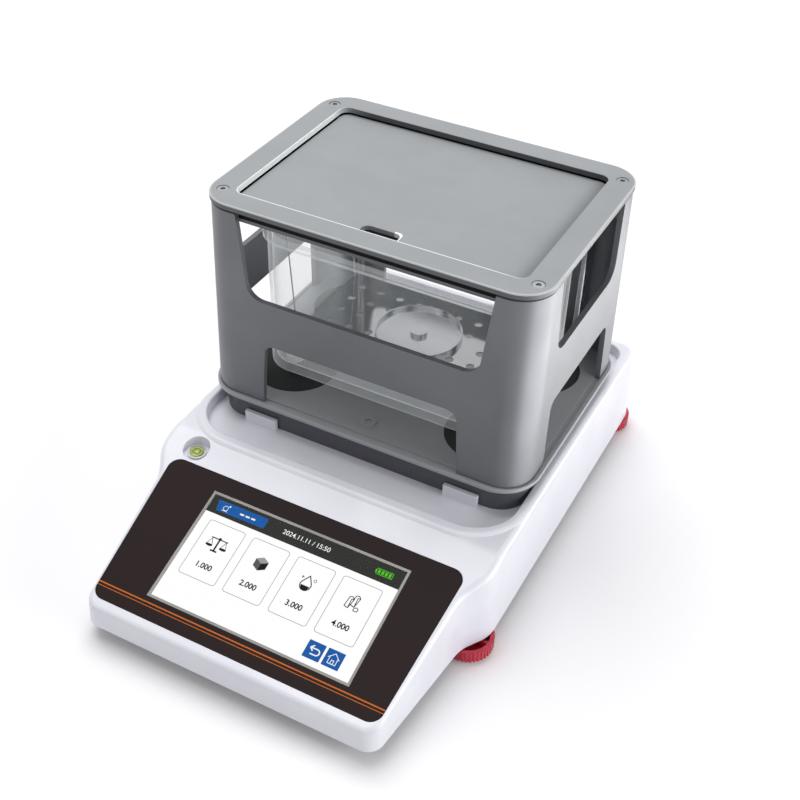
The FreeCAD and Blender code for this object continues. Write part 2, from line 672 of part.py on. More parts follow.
print("housing")
posts = [(f"{side}({x})", y) for side in ("-", "") for x, y in
         (("post_front_x", "front_y + post_front_y"), ("post_neck_x", "front_y + post_neck_y"),
          ("post_side_x", "rear_y - post_side_y"), ("post_rear_x", "rear_y - post_rear_y"))]
feet = [("front_left", "-front_foot_x", "front_y + front_foot_from_front"),
        ("front_right", "front_foot_x", "front_y + front_foot_from_front"),
        ("rear_left", "-rear_foot_x", "rear_y - rear_foot_from_rear"),
        ("rear_right", "rear_foot_x", "rear_y - rear_foot_from_rear")]
LEVEL_X, LEVEL_Y = "-level_x", "front_y + level_from_front"
derive("well_z", "screen_z + (front_y + level_from_front - screen_y) * rise - level_well_depth")
derive("strap_out", "-(housing_wall + lcd_thick + board_thick)")
derive("strap_screw_along", "bezel_length / 2 + lcd_overlap + display_boss + strap_thick")
doc.recompute()
strap_spots = [(f"screen_x {a} strap_from_middle", f"{b}strap_screw_along")
               for a in ("-", "+") for b in ("-", "")]

console = dressed("console_block", cut("console_cut", housing_prism("console_form", "0", "body_bottom",
                  "deck_z"), slope_wedge("slope_cut", "0", "0")), [])
tip = round_edges(console, console.Group[0], lambda e: lies_at(e, number("meet_y"))
                  and at_level(number("deck_z"))(e), "crease_round")
round_edges(console, tip, rim_test(tip.Shape), "console_round")

derive("bead_low", "shelf_z - bead_depth")
derive("bead_half", "body_half_width - (bead_low - body_bottom) * tan(wall_draft)")
derive("bead_rear", "rear_y - (bead_low - body_bottom) * tan(wall_draft)")
doc.recompute()
bead_form = prism("bead_form", "XY_Plane", [("-bead_half", "front_y + bead_from_front"),
                                            ("bead_half", "front_y + bead_from_front"),
                                            ("bead_half", "bead_rear"), ("-bead_half", "bead_rear")],
                  "crest_z - bead_low", "wall_draft")
bind(bead_form, {"Placement.Base.z": "bead_low"})
round_corners(bead_form, [0, 1], "bead_corner")
round_corners(bead_form, [2, 3], "rear_corner")
shelf_pocket = soft_block("shelf_pocket", around("shelf_half_width"),
                          ("front_y + shelf_from_front", "rear_y - shelf_from_rear"),
                          ("shelf_z", "crest_z + overrun"), "shelf_corner",
                          rear_corner="shelf_rear_corner")


def inside_shelf(edge):
    box = edge.BoundBox
    wide = number("shelf_half_width") + number("shelf_drop") / 100
    return (abs(box.XMin) < wide and abs(box.XMax) < wide
            and box.YMin > number("front_y") + number("shelf_from_front") - 0.1
            and box.YMax < number("rear_y") - number("shelf_from_rear") + 0.1)


crest = number("crest_z")
bead = dressed("bead_ring", cut("bead_cut", bead_form, shelf_pocket),
               [(lambda e: at_level(crest)(e) and not inside_shelf(e), "bead_round"),
                (lambda e: at_level(crest)(e) and inside_shelf(e), "bead_inner_round")])

core = cut("housing_core", housing_prism("core_form", "housing_wall", "body_bottom",
                                         "shelf_z - housing_wall"),
           slope_wedge("core_cut", "housing_wall", "shelf_drop + housing_wall"),
           rod("level_cup", "level_well + housing_wall", "crest_z - well_z + level_sink + housing_wall",
               LEVEL_X, LEVEL_Y, "well_z - level_sink - housing_wall"),
           *[rod(f"post{i}", "post_radius", "crest_z - cover_top", x, y, "cover_top")
             for i, (x, y) in enumerate(posts)],
           *[slope_rod(f"display_boss{i}", "display_boss", across, along, ("strap_out", "0"))
             for i, (across, along) in enumerate(strap_spots)])
overlay_corners = [("-(overlay_front_half{0})", "-(overlay_ahead{0})"),
                   ("overlay_front_half{0}", "-(overlay_ahead{0})"),
                   ("overlay_back_half{0}", "overlay_behind{0}"),
                   ("-(overlay_back_half{0})", "overlay_behind{0}")]


def overlay_prism(name, grow, high):
    corners = [(x.format(grow), y.format(grow)) for x, y in overlay_corners]
    body = prism(name, "XY_Plane", corners, f"overlay_thick + ({high})")
    round_corners(body, [0, 1, 2, 3], "overlay_corner" + grow)
    return slope_item(body, "0", "0", "-overlay_thick")


def screen_opening(name, play, out):
    return slope_block(name, around(f"bezel_width / 2 + {play}", "screen_x"),
                       around(f"bezel_length / 2 + {play}"), out)


tab_front = "middle_y - (tray_half_depth - skirt_inset) - tab_gap"
tabs = [soft_block(f"tab_{side}", around("tab_length / 2", x), (f"{tab_front} - tab_thick", tab_front),
                   ("shelf_z - bead_rise", "shelf_z + tab_height"), "tab_thick / 4", top="tab_thick / 5")
        for side, x in (("left", "-tab_x"), ("right", "tab_x"))]
tray_spots = [("0", "middle_y - tray_screw_y"), ("0", "middle_y + tray_screw_y")]
riser_spots = [("-riser_x", "riser_y"), ("riser_x", "riser_y")]
hollow = cut("housing_hollow", fuse("housing_shell", console, bead), shelf_pocket, core,
             overlay_prism("overlay_seat", " + overlay_play", "overrun"),
             screen_opening("screen_hole", "bezel_play", ("-(housing_wall + overrun)", "0")),
             rod("level_well_cut", "level_well", "crest_z + overrun - well_z", LEVEL_X, LEVEL_Y, "well_z"),
             rod("level_hole", "level_radius + glass_play", "level_sink + overrun", LEVEL_X, LEVEL_Y,
                 "well_z - level_sink"),
             block("rear_slot", around("rear_slot_half"), ("rear_y - bead_depth * 2", "rear_y + overrun"),
                   ("body_bottom + rear_slot_low", "body_bottom + rear_slot_high")),
             *[rod(f"shelf_hole{i}", "riser_hole", "bead_depth + overrun", x, y, "shelf_z - bead_depth")
               for i, (x, y) in enumerate(riser_spots)],
             *[rod(f"shelf_thread{i}", "tray_screw_radius", "bead_depth + overrun", x, y,
                   "shelf_z - bead_depth") for i, (x, y) in enumerate(tray_spots)],
             *[rod(f"post_hole{i}", "small_screw", "cover_screw_grip", x, y, "cover_top")
               for i, (x, y) in enumerate(posts)],
             *[slope_rod(f"display_boss_hole{i}", "small_screw", across, along,
                         ("strap_out", "strap_out + display_screw_grip - strap_thick"))
               for i, (across, along) in enumerate(strap_spots)])
keep("upper_housing", fuse("housing_joined", hollow, *tabs))


def screw(name, radius, head, head_height, length, turned=False):
    # A socket screw with its seat at zero, its shank down or, turned over, up
    shank = rod(name + "_shank", radius, length, "0", "0", "0" if turned else f"-({length})")
    cap = rod(name + "_head", head, head_height, "0", "0", f"-({head_height})" if turned else "0")
    socket = doc.addObject("Part::Prism", name + "_socket")
    socket.Polygon = 6
    bind(socket, {"Circumradius": f"({head}) / 2", "Height": f"({head_height})"})
    place(socket, "0", "0", f"socket_depth - 2 * ({head_height})" if turned
          else f"({head_height}) - socket_depth")
    return cut(name, fuse(name + "_blank", shank, cap), socket)


def copies(name, master, spots):
    return group(name, [place(group(f"{name}{i}", [master]), *spot) for i, spot in enumerate(spots)])


print("base")
board_x, board_y = "-board_from_middle", "front_y + neck_end + board_behind_neck"
board_spots = [(f"{board_x} {a} (board_width / 2 - board_margin)", y) for a in ("-", "+")
               for y in (f"{board_y} + board_margin", f"{board_y} + board_length - board_margin")]
derive("strap_foot_x", "battery_width / 2 + strap_gap + battery_strap_thick + strap_foot / 2")
derive("battery_y", "front_y + neck_end + board_behind_neck + battery_length / 2")
derive("panel_y", "rear_y - housing_wall - (rear_slot_high + rear_panel_margin) * tan(wall_draft)"
                  " - rear_panel_gap")
derive("panel_foot_y", "panel_y - rear_panel_thick - rear_panel_foot / 2")
doc.recompute()
strap_feet = [("battery_x - strap_foot_x", "battery_y"), ("battery_x + strap_foot_x", "battery_y")]
panel_feet = [("-connector_x", "panel_foot_y"), ("connector_x", "panel_foot_y")]
stop_spots = [("-stop_x", "riser_y"), ("stop_x", "riser_y")]
fixed_y = "cell_end - cell_length"
base_spots = [("0", f"{fixed_y} + cell_screw_inset"), ("0", f"{fixed_y} + cell_grip - cell_screw_inset")]
free_spots = [("0", "cell_end - cell_screw_inset"), ("0", "cell_end - cell_grip + cell_screw_inset")]

plate = housing_prism("cover_plate", "(housing_wall + cover_play)", "cover_low", "cover_top")
cover = cut("cover_body", fuse("cover_blank", plate,
            *[rod(f"insert_boss_{corner}", "insert_boss", "insert_height", x, y, "cover_low")
              for corner, x, y in feet],
            *[rod(f"standoff{i}", "standoff_radius", "cover_thick + standoff_height", x, y, "cover_low")
              for i, (x, y) in enumerate(board_spots)]),
            *[rod(f"insert_hole_{corner}", "insert_radius", "insert_height + 2 * overrun", x, y,
                  "cover_low - overrun") for corner, x, y in feet],
            *[rod(f"cover_hole{i}", "small_screw + screw_play", "cover_thick + 2 * overrun", x, y,
                  "cover_low - overrun") for i, (x, y) in enumerate(posts)],
            *[rod(f"cover_sink{i}", "small_head + screw_play", "head_height + overrun", x, y,
                  "cover_low - overrun") for i, (x, y) in enumerate(posts)],
            *[rod(f"standoff_hole{i}", "small_screw", "standoff_height + overrun", x, y, "cover_top")
              for i, (x, y) in enumerate(board_spots)],
            *[rod(f"cover_thread{i}", "small_screw", "cover_thick + 2 * overrun", x, y,
                  "cover_low - overrun") for i, (x, y) in enumerate(strap_feet + panel_feet)],
            *[rod(f"cell_thread{i}", "cell_screw", "cover_thick + 2 * overrun", x, y,
                  "cover_low - overrun") for i, (x, y) in enumerate(base_spots)])
keep("bottom_cover", cover)
cover_screw = screw("cover_screw", "small_screw", "small_head", "head_height",
                    "cover_thick - head_height + cover_screw_grip - screw_play", turned=True)
keep("cover_screws", copies("cover_screw_set", cover_screw,
                            [(x, y, "cover_low + head_height") for x, y in posts]))

insert = cut("insert", rod("insert_blank", "insert_radius", "insert_height", "0", "0", "0"),
             rod("insert_bore", "stud_radius + stud_play", "insert_height + overrun", "0", "0", "0"))
keep("foot_inserts", copies("insert_set", insert, [(x, y, "cover_low") for corner, x, y in feet]))
knurls = [rod(f"knurl{i}", "knurl_radius", "wheel_height + 2 * overrun",
              f"wheel_radius * cos({i} * 360 / knurl_count)", f"wheel_radius * sin({i} * 360 / knurl_count)",
              "-overrun") for i in range(int(number("knurl_count")))]
rim = cut("wheel_rim_part", rod("wheel_blank", "wheel_radius", "wheel_height", "0", "0", "0"),
          rod("wheel_dish", "wheel_radius - wheel_rim", "wheel_height", "0", "0", "wheel_web"), *knurls)
spokes = []
for turn in range(3):
    spoke = block(f"wheel_spoke{turn}", ("0", "wheel_radius - wheel_rim + wheel_web / 2"),
                  around("wheel_spoke / 2"), ("wheel_web / 2", "wheel_height - wheel_web / 2"))
    spoke = group(f"wheel_spoke_turned{turn}", [spoke])
    spoke.Placement = FreeCAD.Placement(FreeCAD.Vector(), FreeCAD.Rotation(FreeCAD.Vector(0, 0, 1), 120 * turn))
    spokes.append(spoke)
wheel = cut("wheel", fuse("wheel_joined", rim, rod("wheel_hub_part", "wheel_hub", "wheel_height", "0", "0",
                                                   "0"), *spokes),
            rod("wheel_stud_hole", "stud_radius", "wheel_height", "0", "0", "wheel_web"),
            rod("wheel_spigot_hole", "pad_spigot + stud_play", "wheel_height", "0", "0", "-wheel_web / 2"))
stud = rod("stud", "stud_radius", "wheel_height - wheel_web + stud_reach", "0", "0", "wheel_web")
pad = fuse("pad", rod("pad_disc", "pad_radius", "pad_height", "0", "0", "0"),
           rod("pad_spigot_part", "pad_spigot", "wheel_web - screw_play", "0", "0", "pad_height"))
for corner, x, y in feet:
    for piece, master, z in (("pad", pad, "0"), ("wheel", wheel, "pad_height"), ("stud", stud, "pad_height")):
        keep(f"foot_{piece}_{corner}", place(group(f"foot_{piece}_{corner}_part", [master]), x, y, z))

print("screen")
low_glass = "(2 * glass_sink + glass_thick)"
keep("touch_overlay", cut("overlay_body", overlay_prism("overlay_sheet", "", "0"),
                          screen_opening("overlay_window", "bezel_play", ("-2 * overlay_thick", "overrun")),
                          rod("overlay_level_clear", "level_well", "crest_z", LEVEL_X, LEVEL_Y, "well_z")))
frame_out = ("-housing_wall", "-glass_sink")
keep("screen_bezel", cut("bezel_ring", screen_opening("bezel_blank", "0", frame_out),
                         screen_opening("bezel_window", "(-bezel_border)", ("-2 * housing_wall", "overrun"))))
keep("screen_glass", screen_opening("glass_sheet", "(-bezel_border - glass_play)",
                                    (f"-{low_glass}", "-2 * glass_sink")))
keep("lcd_panel", fuse("lcd_block",
                       screen_opening("lcd_face", "(-bezel_border - glass_play)",
                                      ("-housing_wall - lcd_thick / 2", f"-{low_glass}")),
                       screen_opening("lcd_back", "lcd_overlap",
                                      ("-housing_wall - lcd_thick", "-housing_wall"))))
keep("display_board", screen_opening("display_board_sheet", "(lcd_overlap - display_board_inset)",
                                     ("strap_out", "strap_out + board_thick")))
strap_end = "(strap_screw_along + display_boss)"
keep("display_straps", cut("display_strap_set", group("display_strap_blanks", [
    slope_block(f"display_strap{i}", around("strap_width / 2", f"screen_x {a} strap_from_middle"),
                around(strap_end), ("strap_out - strap_thick", "strap_out")) for i, a in enumerate("-+")]),
    *[slope_rod(f"strap_hole{i}", "small_screw + screw_play", across, along,
                ("strap_out - 2 * strap_thick", "strap_out + strap_thick"))
      for i, (across, along) in enumerate(strap_spots)]))
display_screw = screw("display_screw", "small_screw", "small_head", "head_height",
                      "display_screw_grip - screw_play", turned=True)
keep("display_screws", group("display_screw_set", [
    slope_item(group(f"display_screw_turned{i}", [display_screw]), across, along, "strap_out - strap_thick")
    for i, (across, along) in enumerate(strap_spots)]))

vial = doc.addObject("PartDesign::Body", "vial")
vial_rod = vial.newObject("PartDesign::AdditiveCylinder", "vial_rod")
bind(vial_rod, {"Radius": "level_radius", "Height": "level_sink + level_ring_height + level_dome"})
vial_rod.recompute(True)
round_edges(vial, vial_rod, at_level(vial_rod.Shape.BoundBox.ZMax), "level_dome")
keep("level_vial", place(vial, LEVEL_X, LEVEL_Y, "well_z - level_sink"))
keep("level_ring", cut("level_ring_part", rod("level_ring_blank", "level_ring_radius", "level_ring_height",
                                              LEVEL_X, LEVEL_Y, "well_z"),
                       rod("level_ring_bore", "level_radius", "2 * level_ring_height", LEVEL_X, LEVEL_Y,
                           "well_z - level_ring_height / 2")))

print("inside")
board_z = "(cover_top + standoff_height)"
chip_z = f"{board_z} + board_thick"
board = cut("main_board_part", block("main_board_sheet", around("board_width / 2", board_x),
                                     (board_y, f"{board_y} + board_length"), (board_z, chip_z)),
            *[rod(f"board_hole{i}", "small_screw + screw_play", "board_thick * 3", x, y,
                  f"{board_z} - board_thick") for i, (x, y) in enumerate(board_spots)])
chips = [block(f"chip{i}", around(f"board_width * {wide}", f"{board_x} + board_width * {across}"),
               around(f"board_length * {deep}", f"{board_y} + board_length * {along}"),
               (chip_z, f"{chip_z} + chip_height * {tall}"))
         for i, (across, along, wide, deep, tall) in enumerate(CHIP_SHARES)]
keep("main_board", fuse("main_board_joined", board, *chips))
inner_screw = screw("inner_screw", "small_screw", "small_head", "head_height", "inner_screw_length")
keep("inner_screws", copies("inner_screw_set", inner_screw,
     [(x, y, chip_z) for x, y in board_spots]
     + [(x, y, "cover_top + battery_strap_thick") for x, y in strap_feet]
     + [(x, y, "cover_top + rear_panel_thick") for x, y in panel_feet]))
battery_top = "(cover_top + battery_height)"
keep("battery_pack", soft_block("battery", around("battery_width / 2", "battery_x"),
                                around("battery_length / 2", "battery_y"),
                                ("cover_top", battery_top), "battery_corner"))
strap_inner = "battery_width / 2 + strap_gap"
strap_wall = around("battery_strap_width / 2", "battery_y")
strap = fuse("battery_strap_joined",
             block("battery_strap_top", around(f"{strap_inner} + battery_strap_thick", "battery_x"), strap_wall,
                   (f"{battery_top} + strap_gap", f"{battery_top} + strap_gap + battery_strap_thick")),
             *[block(f"battery_strap_leg{i}", around("battery_strap_thick / 2",
                     f"battery_x {a} ({strap_inner} + battery_strap_thick / 2)"), strap_wall,
                     ("cover_top", f"{battery_top} + strap_gap + battery_strap_thick"))
               for i, a in enumerate("-+")],
             *[block(f"battery_strap_foot{i}", around("strap_foot / 2 + battery_strap_thick / 2",
                     f"battery_x {a} (strap_foot_x - battery_strap_thick / 2)"), strap_wall,
                     ("cover_top", "cover_top + battery_strap_thick")) for i, a in enumerate("-+")])
keep("battery_strap", cut("battery_strap_part", strap,
                          *[rod(f"battery_strap_hole{i}", "small_screw + screw_play", "overrun", x, y,
                                "cover_top - battery_strap_thick") for i, (x, y) in enumerate(strap_feet)]))

keep("load_cell_base", cut("cell_base_part",
                           block("cell_base_block", around("cell_width / 2"),
                                 (fixed_y, f"{fixed_y} + cell_grip"), ("cover_top", "cell_z")),
                           *[rod(f"cell_base_hole{i}", "cell_screw + screw_play", "2 * cell_base_height", x, y,
                                 "cover_top - cell_base_height / 2") for i, (x, y) in enumerate(base_spots)]))
cell_middle = "(cell_end - cell_length / 2)"
cell_bore_z = "cell_z + cell_height / 2"
cell = cut("load_cell_part", block("cell_block", around("cell_width / 2"), (fixed_y, "cell_end"),
                                   ("cell_z", "cell_z + cell_height")),
           *[rod(f"cell_bore{i}", "cell_bore", "cell_width + 2 * overrun", "-cell_width / 2 - overrun",
                 f"{cell_middle} {a} cell_bore_apart", cell_bore_z, ALONG_X) for i, a in enumerate("-+")],
           block("cell_slot_cut", around("cell_width"), around("cell_bore_apart", cell_middle),
                 around("cell_slot", cell_bore_z)),
           *[rod(f"cell_hole{i}", "cell_screw + screw_play", "2 * cell_height", x, y, "cell_z - overrun")
             for i, (x, y) in enumerate(base_spots)],
           *[rod(f"cell_thread_hole{i}", "cell_screw + stud_play", "cell_height", x, y,
                 "cell_z + cell_height / 2") for i, (x, y) in enumerate(free_spots)])
keep("load_cell", cell)
fixed_screw = screw("fixed_screw", "cell_screw", "cell_screw_head", "cell_screw_head_height",
                    "cell_height + cell_base_height + cover_thick - screw_play")
keep("cell_base_screws", copies("fixed_screw_set", fixed_screw,
                                [(x, y, "cell_z + cell_height") for x, y in base_spots]))
frame_top = "(frame_z + frame_thick)"
stem_front, stem_rear = "cell_end - cell_grip", "riser_y - frame_width / 2"
frame_blank = fuse("weigh_frame_blank",
                   block("frame_bar", around("riser_x + frame_width / 2"), around("frame_width / 2", "riser_y"),
                         ("frame_z", frame_top)),
                   block("frame_stem_part", around("cell_width / 2"), (stem_front, "riser_y"),
                         ("frame_z", frame_top)),
                   block("frame_pad", around("cell_width / 2"), (stem_front, "cell_end"),
                         ("frame_z - cell_spacer_height", "frame_z + frame_thick / 2")))
keep("weigh_frame", cut("weigh_frame_part", frame_blank,
                        *[rod(f"frame_hole{i}", "cell_screw + screw_play", "cell_height + overrun", x, y,
                              "frame_z - cell_spacer_height - overrun")
                          for i, (x, y) in enumerate(free_spots)]))
free_screw = screw("free_screw", "cell_screw", "cell_screw_head", "cell_screw_head_height",
                   "frame_thick + cell_spacer_height + cell_height / 2 - weigh_travel")
keep("cell_frame_screws", copies("free_screw_set", free_screw, [(x, y, frame_top) for x, y in free_spots]))
keep("overload_stops", group("stop_set", [
    rod(f"stop{i}", "stop_radius", "frame_z - weigh_travel - cover_top", x, y, "cover_top")
    for i, (x, y) in enumerate(stop_spots)]))
keep("weigh_risers", group("riser_set", [
    rod(f"riser{i}", "riser_radius", f"bracket_z - {frame_top}", x, y, frame_top)
    for i, (x, y) in enumerate(riser_spots)]))

print("tray and tank")
pad_spots = four("tank_pad_x", "tank_pad_y")
skirt = "skirt_inset + skirt_wall"
plate_low = "(tray_top - tray_plate)"


def tray_outline(name, inset, z, **rounding):
    return soft_block(name, around(f"tray_half_width - ({inset})"),
                      around(f"tray_half_depth - ({inset})", "middle_y"), z,
                      f"tray_corner - ({inset})", **rounding)


def foot_outline(name, grow, z):
    return soft_block(name, around(f"shield_foot_half_width + {grow}"),
                      around(f"shield_foot_half_depth + {grow}", "middle_y"), z, f"shield_corner + {grow}")


groove_z = ("shield_foot", "tray_top + overrun")
tray = cut("tray_part", fuse("tray_blank", tray_outline("tray_rim", "0", (plate_low, "tray_top"),
                                                         top="tray_edge"),
                             cut("tray_skirt", tray_outline("skirt_outer", "skirt_inset",
                                                            ("shelf_z", "tray_top - tray_plate / 2")),
                                 tray_outline("skirt_inner", skirt, ("shelf_z - overrun", plate_low))),
                             *[rod(f"tray_boss{i}", "tray_screw_head + tray_screw_radius",
                                   "tray_height - tray_plate / 2", x, y, "shelf_z")
                               for i, (x, y) in enumerate(tray_spots)]),
           cut("foot_groove", foot_outline("groove_outer", "groove_play", groove_z),
               foot_outline("groove_inner", "(-shield_wall - groove_play)", groove_z)),
           *[rod(f"pad_well{i}", "tank_pad_radius + tank_pad_play", "overrun", x, y,
                 "tray_top - tank_pad_height") for i, (x, y) in enumerate(pad_spots)],
           *[rod(f"tray_riser_hole{i}", "riser_hole", "tray_height + overrun", x, y, "shelf_z")
             for i, (x, y) in enumerate(riser_spots)],
           *[rod(f"tray_screw_hole{i}", "tray_screw_radius + screw_play", "tray_height + 2 * overrun", x, y,
                 "shelf_z - overrun") for i, (x, y) in enumerate(tray_spots)])
keep("splash_tray", tray)
tray_screw = screw("tray_screw", "tray_screw_radius", "tray_screw_head", "head_height",
                   "tray_height + housing_wall")
keep("tray_screws", copies("tray_screw_set", tray_screw, [(x, y, "tray_top") for x, y in tray_spots]))
keep("tank_pads", group("pad_set", [rod(f"tank_pad{i}", "tank_pad_radius", "tank_pad_height", x, y,
                                        "tray_top - tank_pad_height") for i, (x, y) in enumerate(pad_spots)]))
keep("tank_feet", group("tank_foot_set", [
    rod(f"tank_foot{i}", "tank_foot_radius", "tank_lift - tank_nut_height", x, y, "tray_top")
    for i, (x, y) in enumerate(pad_spots)]))
keep("tank_rings", cut("tank_ring_set", group("tank_ring_blanks", [
    rod(f"tank_ring{i}", "tank_foot_radius", "tank_nut_height", x, y, "tank_bottom - tank_nut_height")
    for i, (x, y) in enumerate(pad_spots)]),
    *[rod(f"tank_ring_hole{i}", "tank_nut_hole", "tank_nut_height * 2", x, y,
          "tank_bottom - tank_nut_height * 3 / 2") for i, (x, y) in enumerate(pad_spots)]))


def tank_outline(name, grow, z, **rounding):
    return soft_block(name, around(f"tank_half_width + {grow}"),
                      around(f"tank_half_depth + {grow}", "middle_y"), z, f"tank_corner + {grow}", **rounding)


keep("water_tank", cut("tank_part", fuse("tank_blank",
     tank_outline("tank_outer", "0", ("tank_bottom", "tank_top - tank_rim_height / 2"), bottom="tank_edge"),
     tank_outline("tank_lip", "tank_rim", ("tank_top - tank_rim_height", "tank_top"), top="tray_edge")),
     tank_outline("tank_inner", "(-tank_wall)", ("tank_bottom + tank_floor", "tank_top + overrun"),
                  bottom="tank_floor")))

hanger_spots = [(f"{a}hanger_foot_x", f"{a}hanger_x", f"middle_y {b} hanger_y", side)
                for a, side in (("-", -1), ("", 1)) for b in ("-", "+")]
reach = (number("dish_radius") + number("sink_hole")) / number("sink_pitch")
columns, rows = [int(number(half) / number("sink_pitch")) for half in ("sink_half_width", "sink_half_depth")]
keep("sink_plate", cut("sink_plate_part",
     soft_block("sink_sheet", around("sink_half_width"), around("sink_half_depth", "middle_y"),
                ("sink_z", "sink_z + sink_thick"), "sink_corner"),
     *[rod(f"sink_hole{i}_{j}", "sink_hole", "3 * sink_thick", f"{i} * sink_pitch",
           f"middle_y + {j} * sink_pitch", "sink_z - sink_thick")
       for i in range(-columns, columns + 1) for j in range(-rows, rows + 1)
       if math.hypot(i, j) > reach],
     *[rod(f"sink_wire_hole{i}", "hanger_radius * 3 / 2", "3 * sink_thick", foot, y, "sink_z - sink_thick")
       for i, (foot, top, y, side) in enumerate(hanger_spots)]))


def cup(name, radius, depth, thick, z):
    return cut(name, rod(name + "_blank", radius, depth, "0", "middle_y", z),
               rod(name + "_hollow", f"{radius} - {thick}", depth, "0", "middle_y", f"{z} + {thick}"))


keep("sink_dish", fuse("dish_part", cup("dish_cup", "dish_radius", "dish_depth", "dish_thick",
                                        "sink_z + sink_thick"),
                       rod("dish_boss_part", "dish_boss", "dish_depth", "0", "middle_y",
                           "sink_z + sink_thick")))
hangers = []
for i, (foot, top, y, side) in enumerate(hanger_spots):
    wire = doc.addObject("Part::Cylinder", f"hanger{i}_wire")
    wire.Placement = FreeCAD.Placement(FreeCAD.Vector(), FreeCAD.Rotation(FreeCAD.Vector(0, side, 0), 1))
    bind(wire, {"Radius": "hanger_radius", "Height": "sqrt((hanger_x - hanger_foot_x)^2"
                " + (bracket_top - sink_z)^2)",
                "Placement.Rotation.Angle": "atan((hanger_x - hanger_foot_x) / (bracket_top - sink_z))"})
    place(wire, foot, y, "sink_z")
    hangers.append(fuse(f"hanger{i}", wire,
                        rod(f"hanger{i}_foot", "hanger_radius * 5 / 2", "hanger_radius * 2", foot, y,
                            "sink_z - hanger_radius * 2"),
                        rod(f"hanger{i}_top", "hanger_radius * 5 / 2", "hanger_radius * 2", top, y,
                            "bracket_top")))
keep("pan_hangers", group("hanger_set", hangers))
bracket_level = ("bracket_z", "bracket_top")
arm_front = "middle_y - hanger_y - bracket_arm"
bracket = cut("bracket_part", fuse("bracket_blank",
              block("bracket_bar", around("riser_x + bracket_arm / 2"), around("bracket_arm / 2", "riser_y"),
                    bracket_level),
              *[block(f"bracket_side{i}", around("bracket_arm / 2", x), (arm_front, "riser_y"), bracket_level)
                for i, x in enumerate(("-hanger_x", "hanger_x"))],
              block("bracket_bridge", around("hanger_x"), around("bracket_arm / 2", "middle_y"), bracket_level),
              rod("bracket_ring_disc", "bracket_ring", "bracket_thick", "0", "middle_y", "bracket_z")),
              rod("bracket_ring_hole", "bracket_ring - bracket_arm", "bracket_thick + 2 * overrun", "0",
                  "middle_y", "bracket_z - overrun"),
              *[rod(f"bracket_wire_hole{i}", "hanger_radius * 3 / 2", "bracket_thick + 2 * overrun", top, y,
                    "bracket_z - overrun") for i, (foot, top, y, side) in enumerate(hanger_spots)])
keep("measuring_bracket", bracket)
keep("upper_pan", cup("upper_cup", "pan_radius", "pan_depth", "pan_thick", "bracket_top"))

print("shield")


def shield_prism(name, inset, low):
    half, deep = f"shield_foot_half_width - {inset}", f"shield_foot_half_depth - {inset}"
    body = prism(name, "XY_Plane", [(f"-({half})", f"-({deep})"), (half, f"-({deep})"), (half, deep),
                                    (f"-({half})", deep)], "shield_height", "shield_draft")
    round_corners(body, [0, 1, 2, 3], f"shield_corner - {inset}")
    return place(body, "0", "middle_y", low)


def through(name, plane, low_half, high_half, z, picks, corner):
    centre = "middle_y" if plane == "YZ_Plane" else "0"
    corners = [(f"{centre} - {low_half}", z[0]), (f"{centre} + {low_half}", z[0]),
               (f"{centre} + {high_half}", z[1]), (f"{centre} - {high_half}", z[1])]
    body = prism(name, plane, corners, "2 * (shield_foot_half_width + overrun)", symmetric=True)
    if plane == "XZ_Plane":
        bind(body, {"Placement.Base.y": "middle_y"})
    round_corners(body, picks, corner)
    return body


arch_z = ("tray_top - overrun", "tray_top + door_height")
window_top = "wall_top + overrun"
lid_spots = four("lid_screw_x", "lid_screw_y")
walls = cut("shield_walls", shield_prism("shield_outer", "0", "shield_foot"),
            shield_prism("shield_inner", "shield_wall", "shield_foot"))
shield = cut("shield_part", fuse("shield_blank", walls,
             *[rod(f"lid_boss{i}", "lid_boss_radius", "lid_boss_height", x, y, "wall_top - lid_boss_height")
               for i, (x, y) in enumerate(lid_spots)]),
             through("front_arch", "XZ_Plane", "door_foot_half", "door_top_half", arch_z, [2, 3], "door_corner"),
             through("side_arch", "YZ_Plane", "side_door_foot_half", "side_door_top_half", arch_z, [2, 3],
                     "door_corner"),
             through("front_window", "XZ_Plane", "window_foot_half", "window_top_half",
                     ("wall_top - window_drop", window_top), [0, 1], "window_corner"),
             through("side_window", "YZ_Plane", "side_window_foot_half", "side_window_top_half",
                     ("wall_top - side_window_drop", window_top), [0, 1], "window_corner"),
             *[rod(f"lid_thread{i}", "lid_screw_radius", "lid_screw_grip + overrun", x, y,
                   "wall_top - lid_screw_grip") for i, (x, y) in enumerate(lid_spots)])
keep("draft_shield", shield)


def wall_outline(name, inset, z):
    return soft_block(name, around(f"shield_top_half_width - ({inset})"),
                      around(f"shield_top_half_depth - ({inset})", "middle_y"), z,
                      f"shield_corner - ({inset})")


seal_z = ("wall_top", "lid_under")
over_seal = ("wall_top - overrun", "lid_under + overrun")
seal = cut("seal_part", fuse("seal_blank", cut("seal_ring", wall_outline("seal_outer", "inner_frame_play",
                                                                         seal_z),
                                               wall_outline("seal_inner", "shield_wall", over_seal)),
                             *[rod(f"seal_ear{i}", "lid_boss_radius", "seal_thick", x, y, "wall_top")
                               for i, (x, y) in enumerate(lid_spots)]),
           *[rod(f"seal_hole{i}", "lid_screw_radius + screw_play", "3 * seal_thick", x, y,
                 "wall_top - seal_thick") for i, (x, y) in enumerate(lid_spots)])
keep("lid_seal", seal)


def opening_outline(name, grow, z, corner):
    return soft_block(name, around(f"opening_half_width + {grow}"),
                      around(f"opening_half_depth + {grow}", "middle_y"), z, corner)


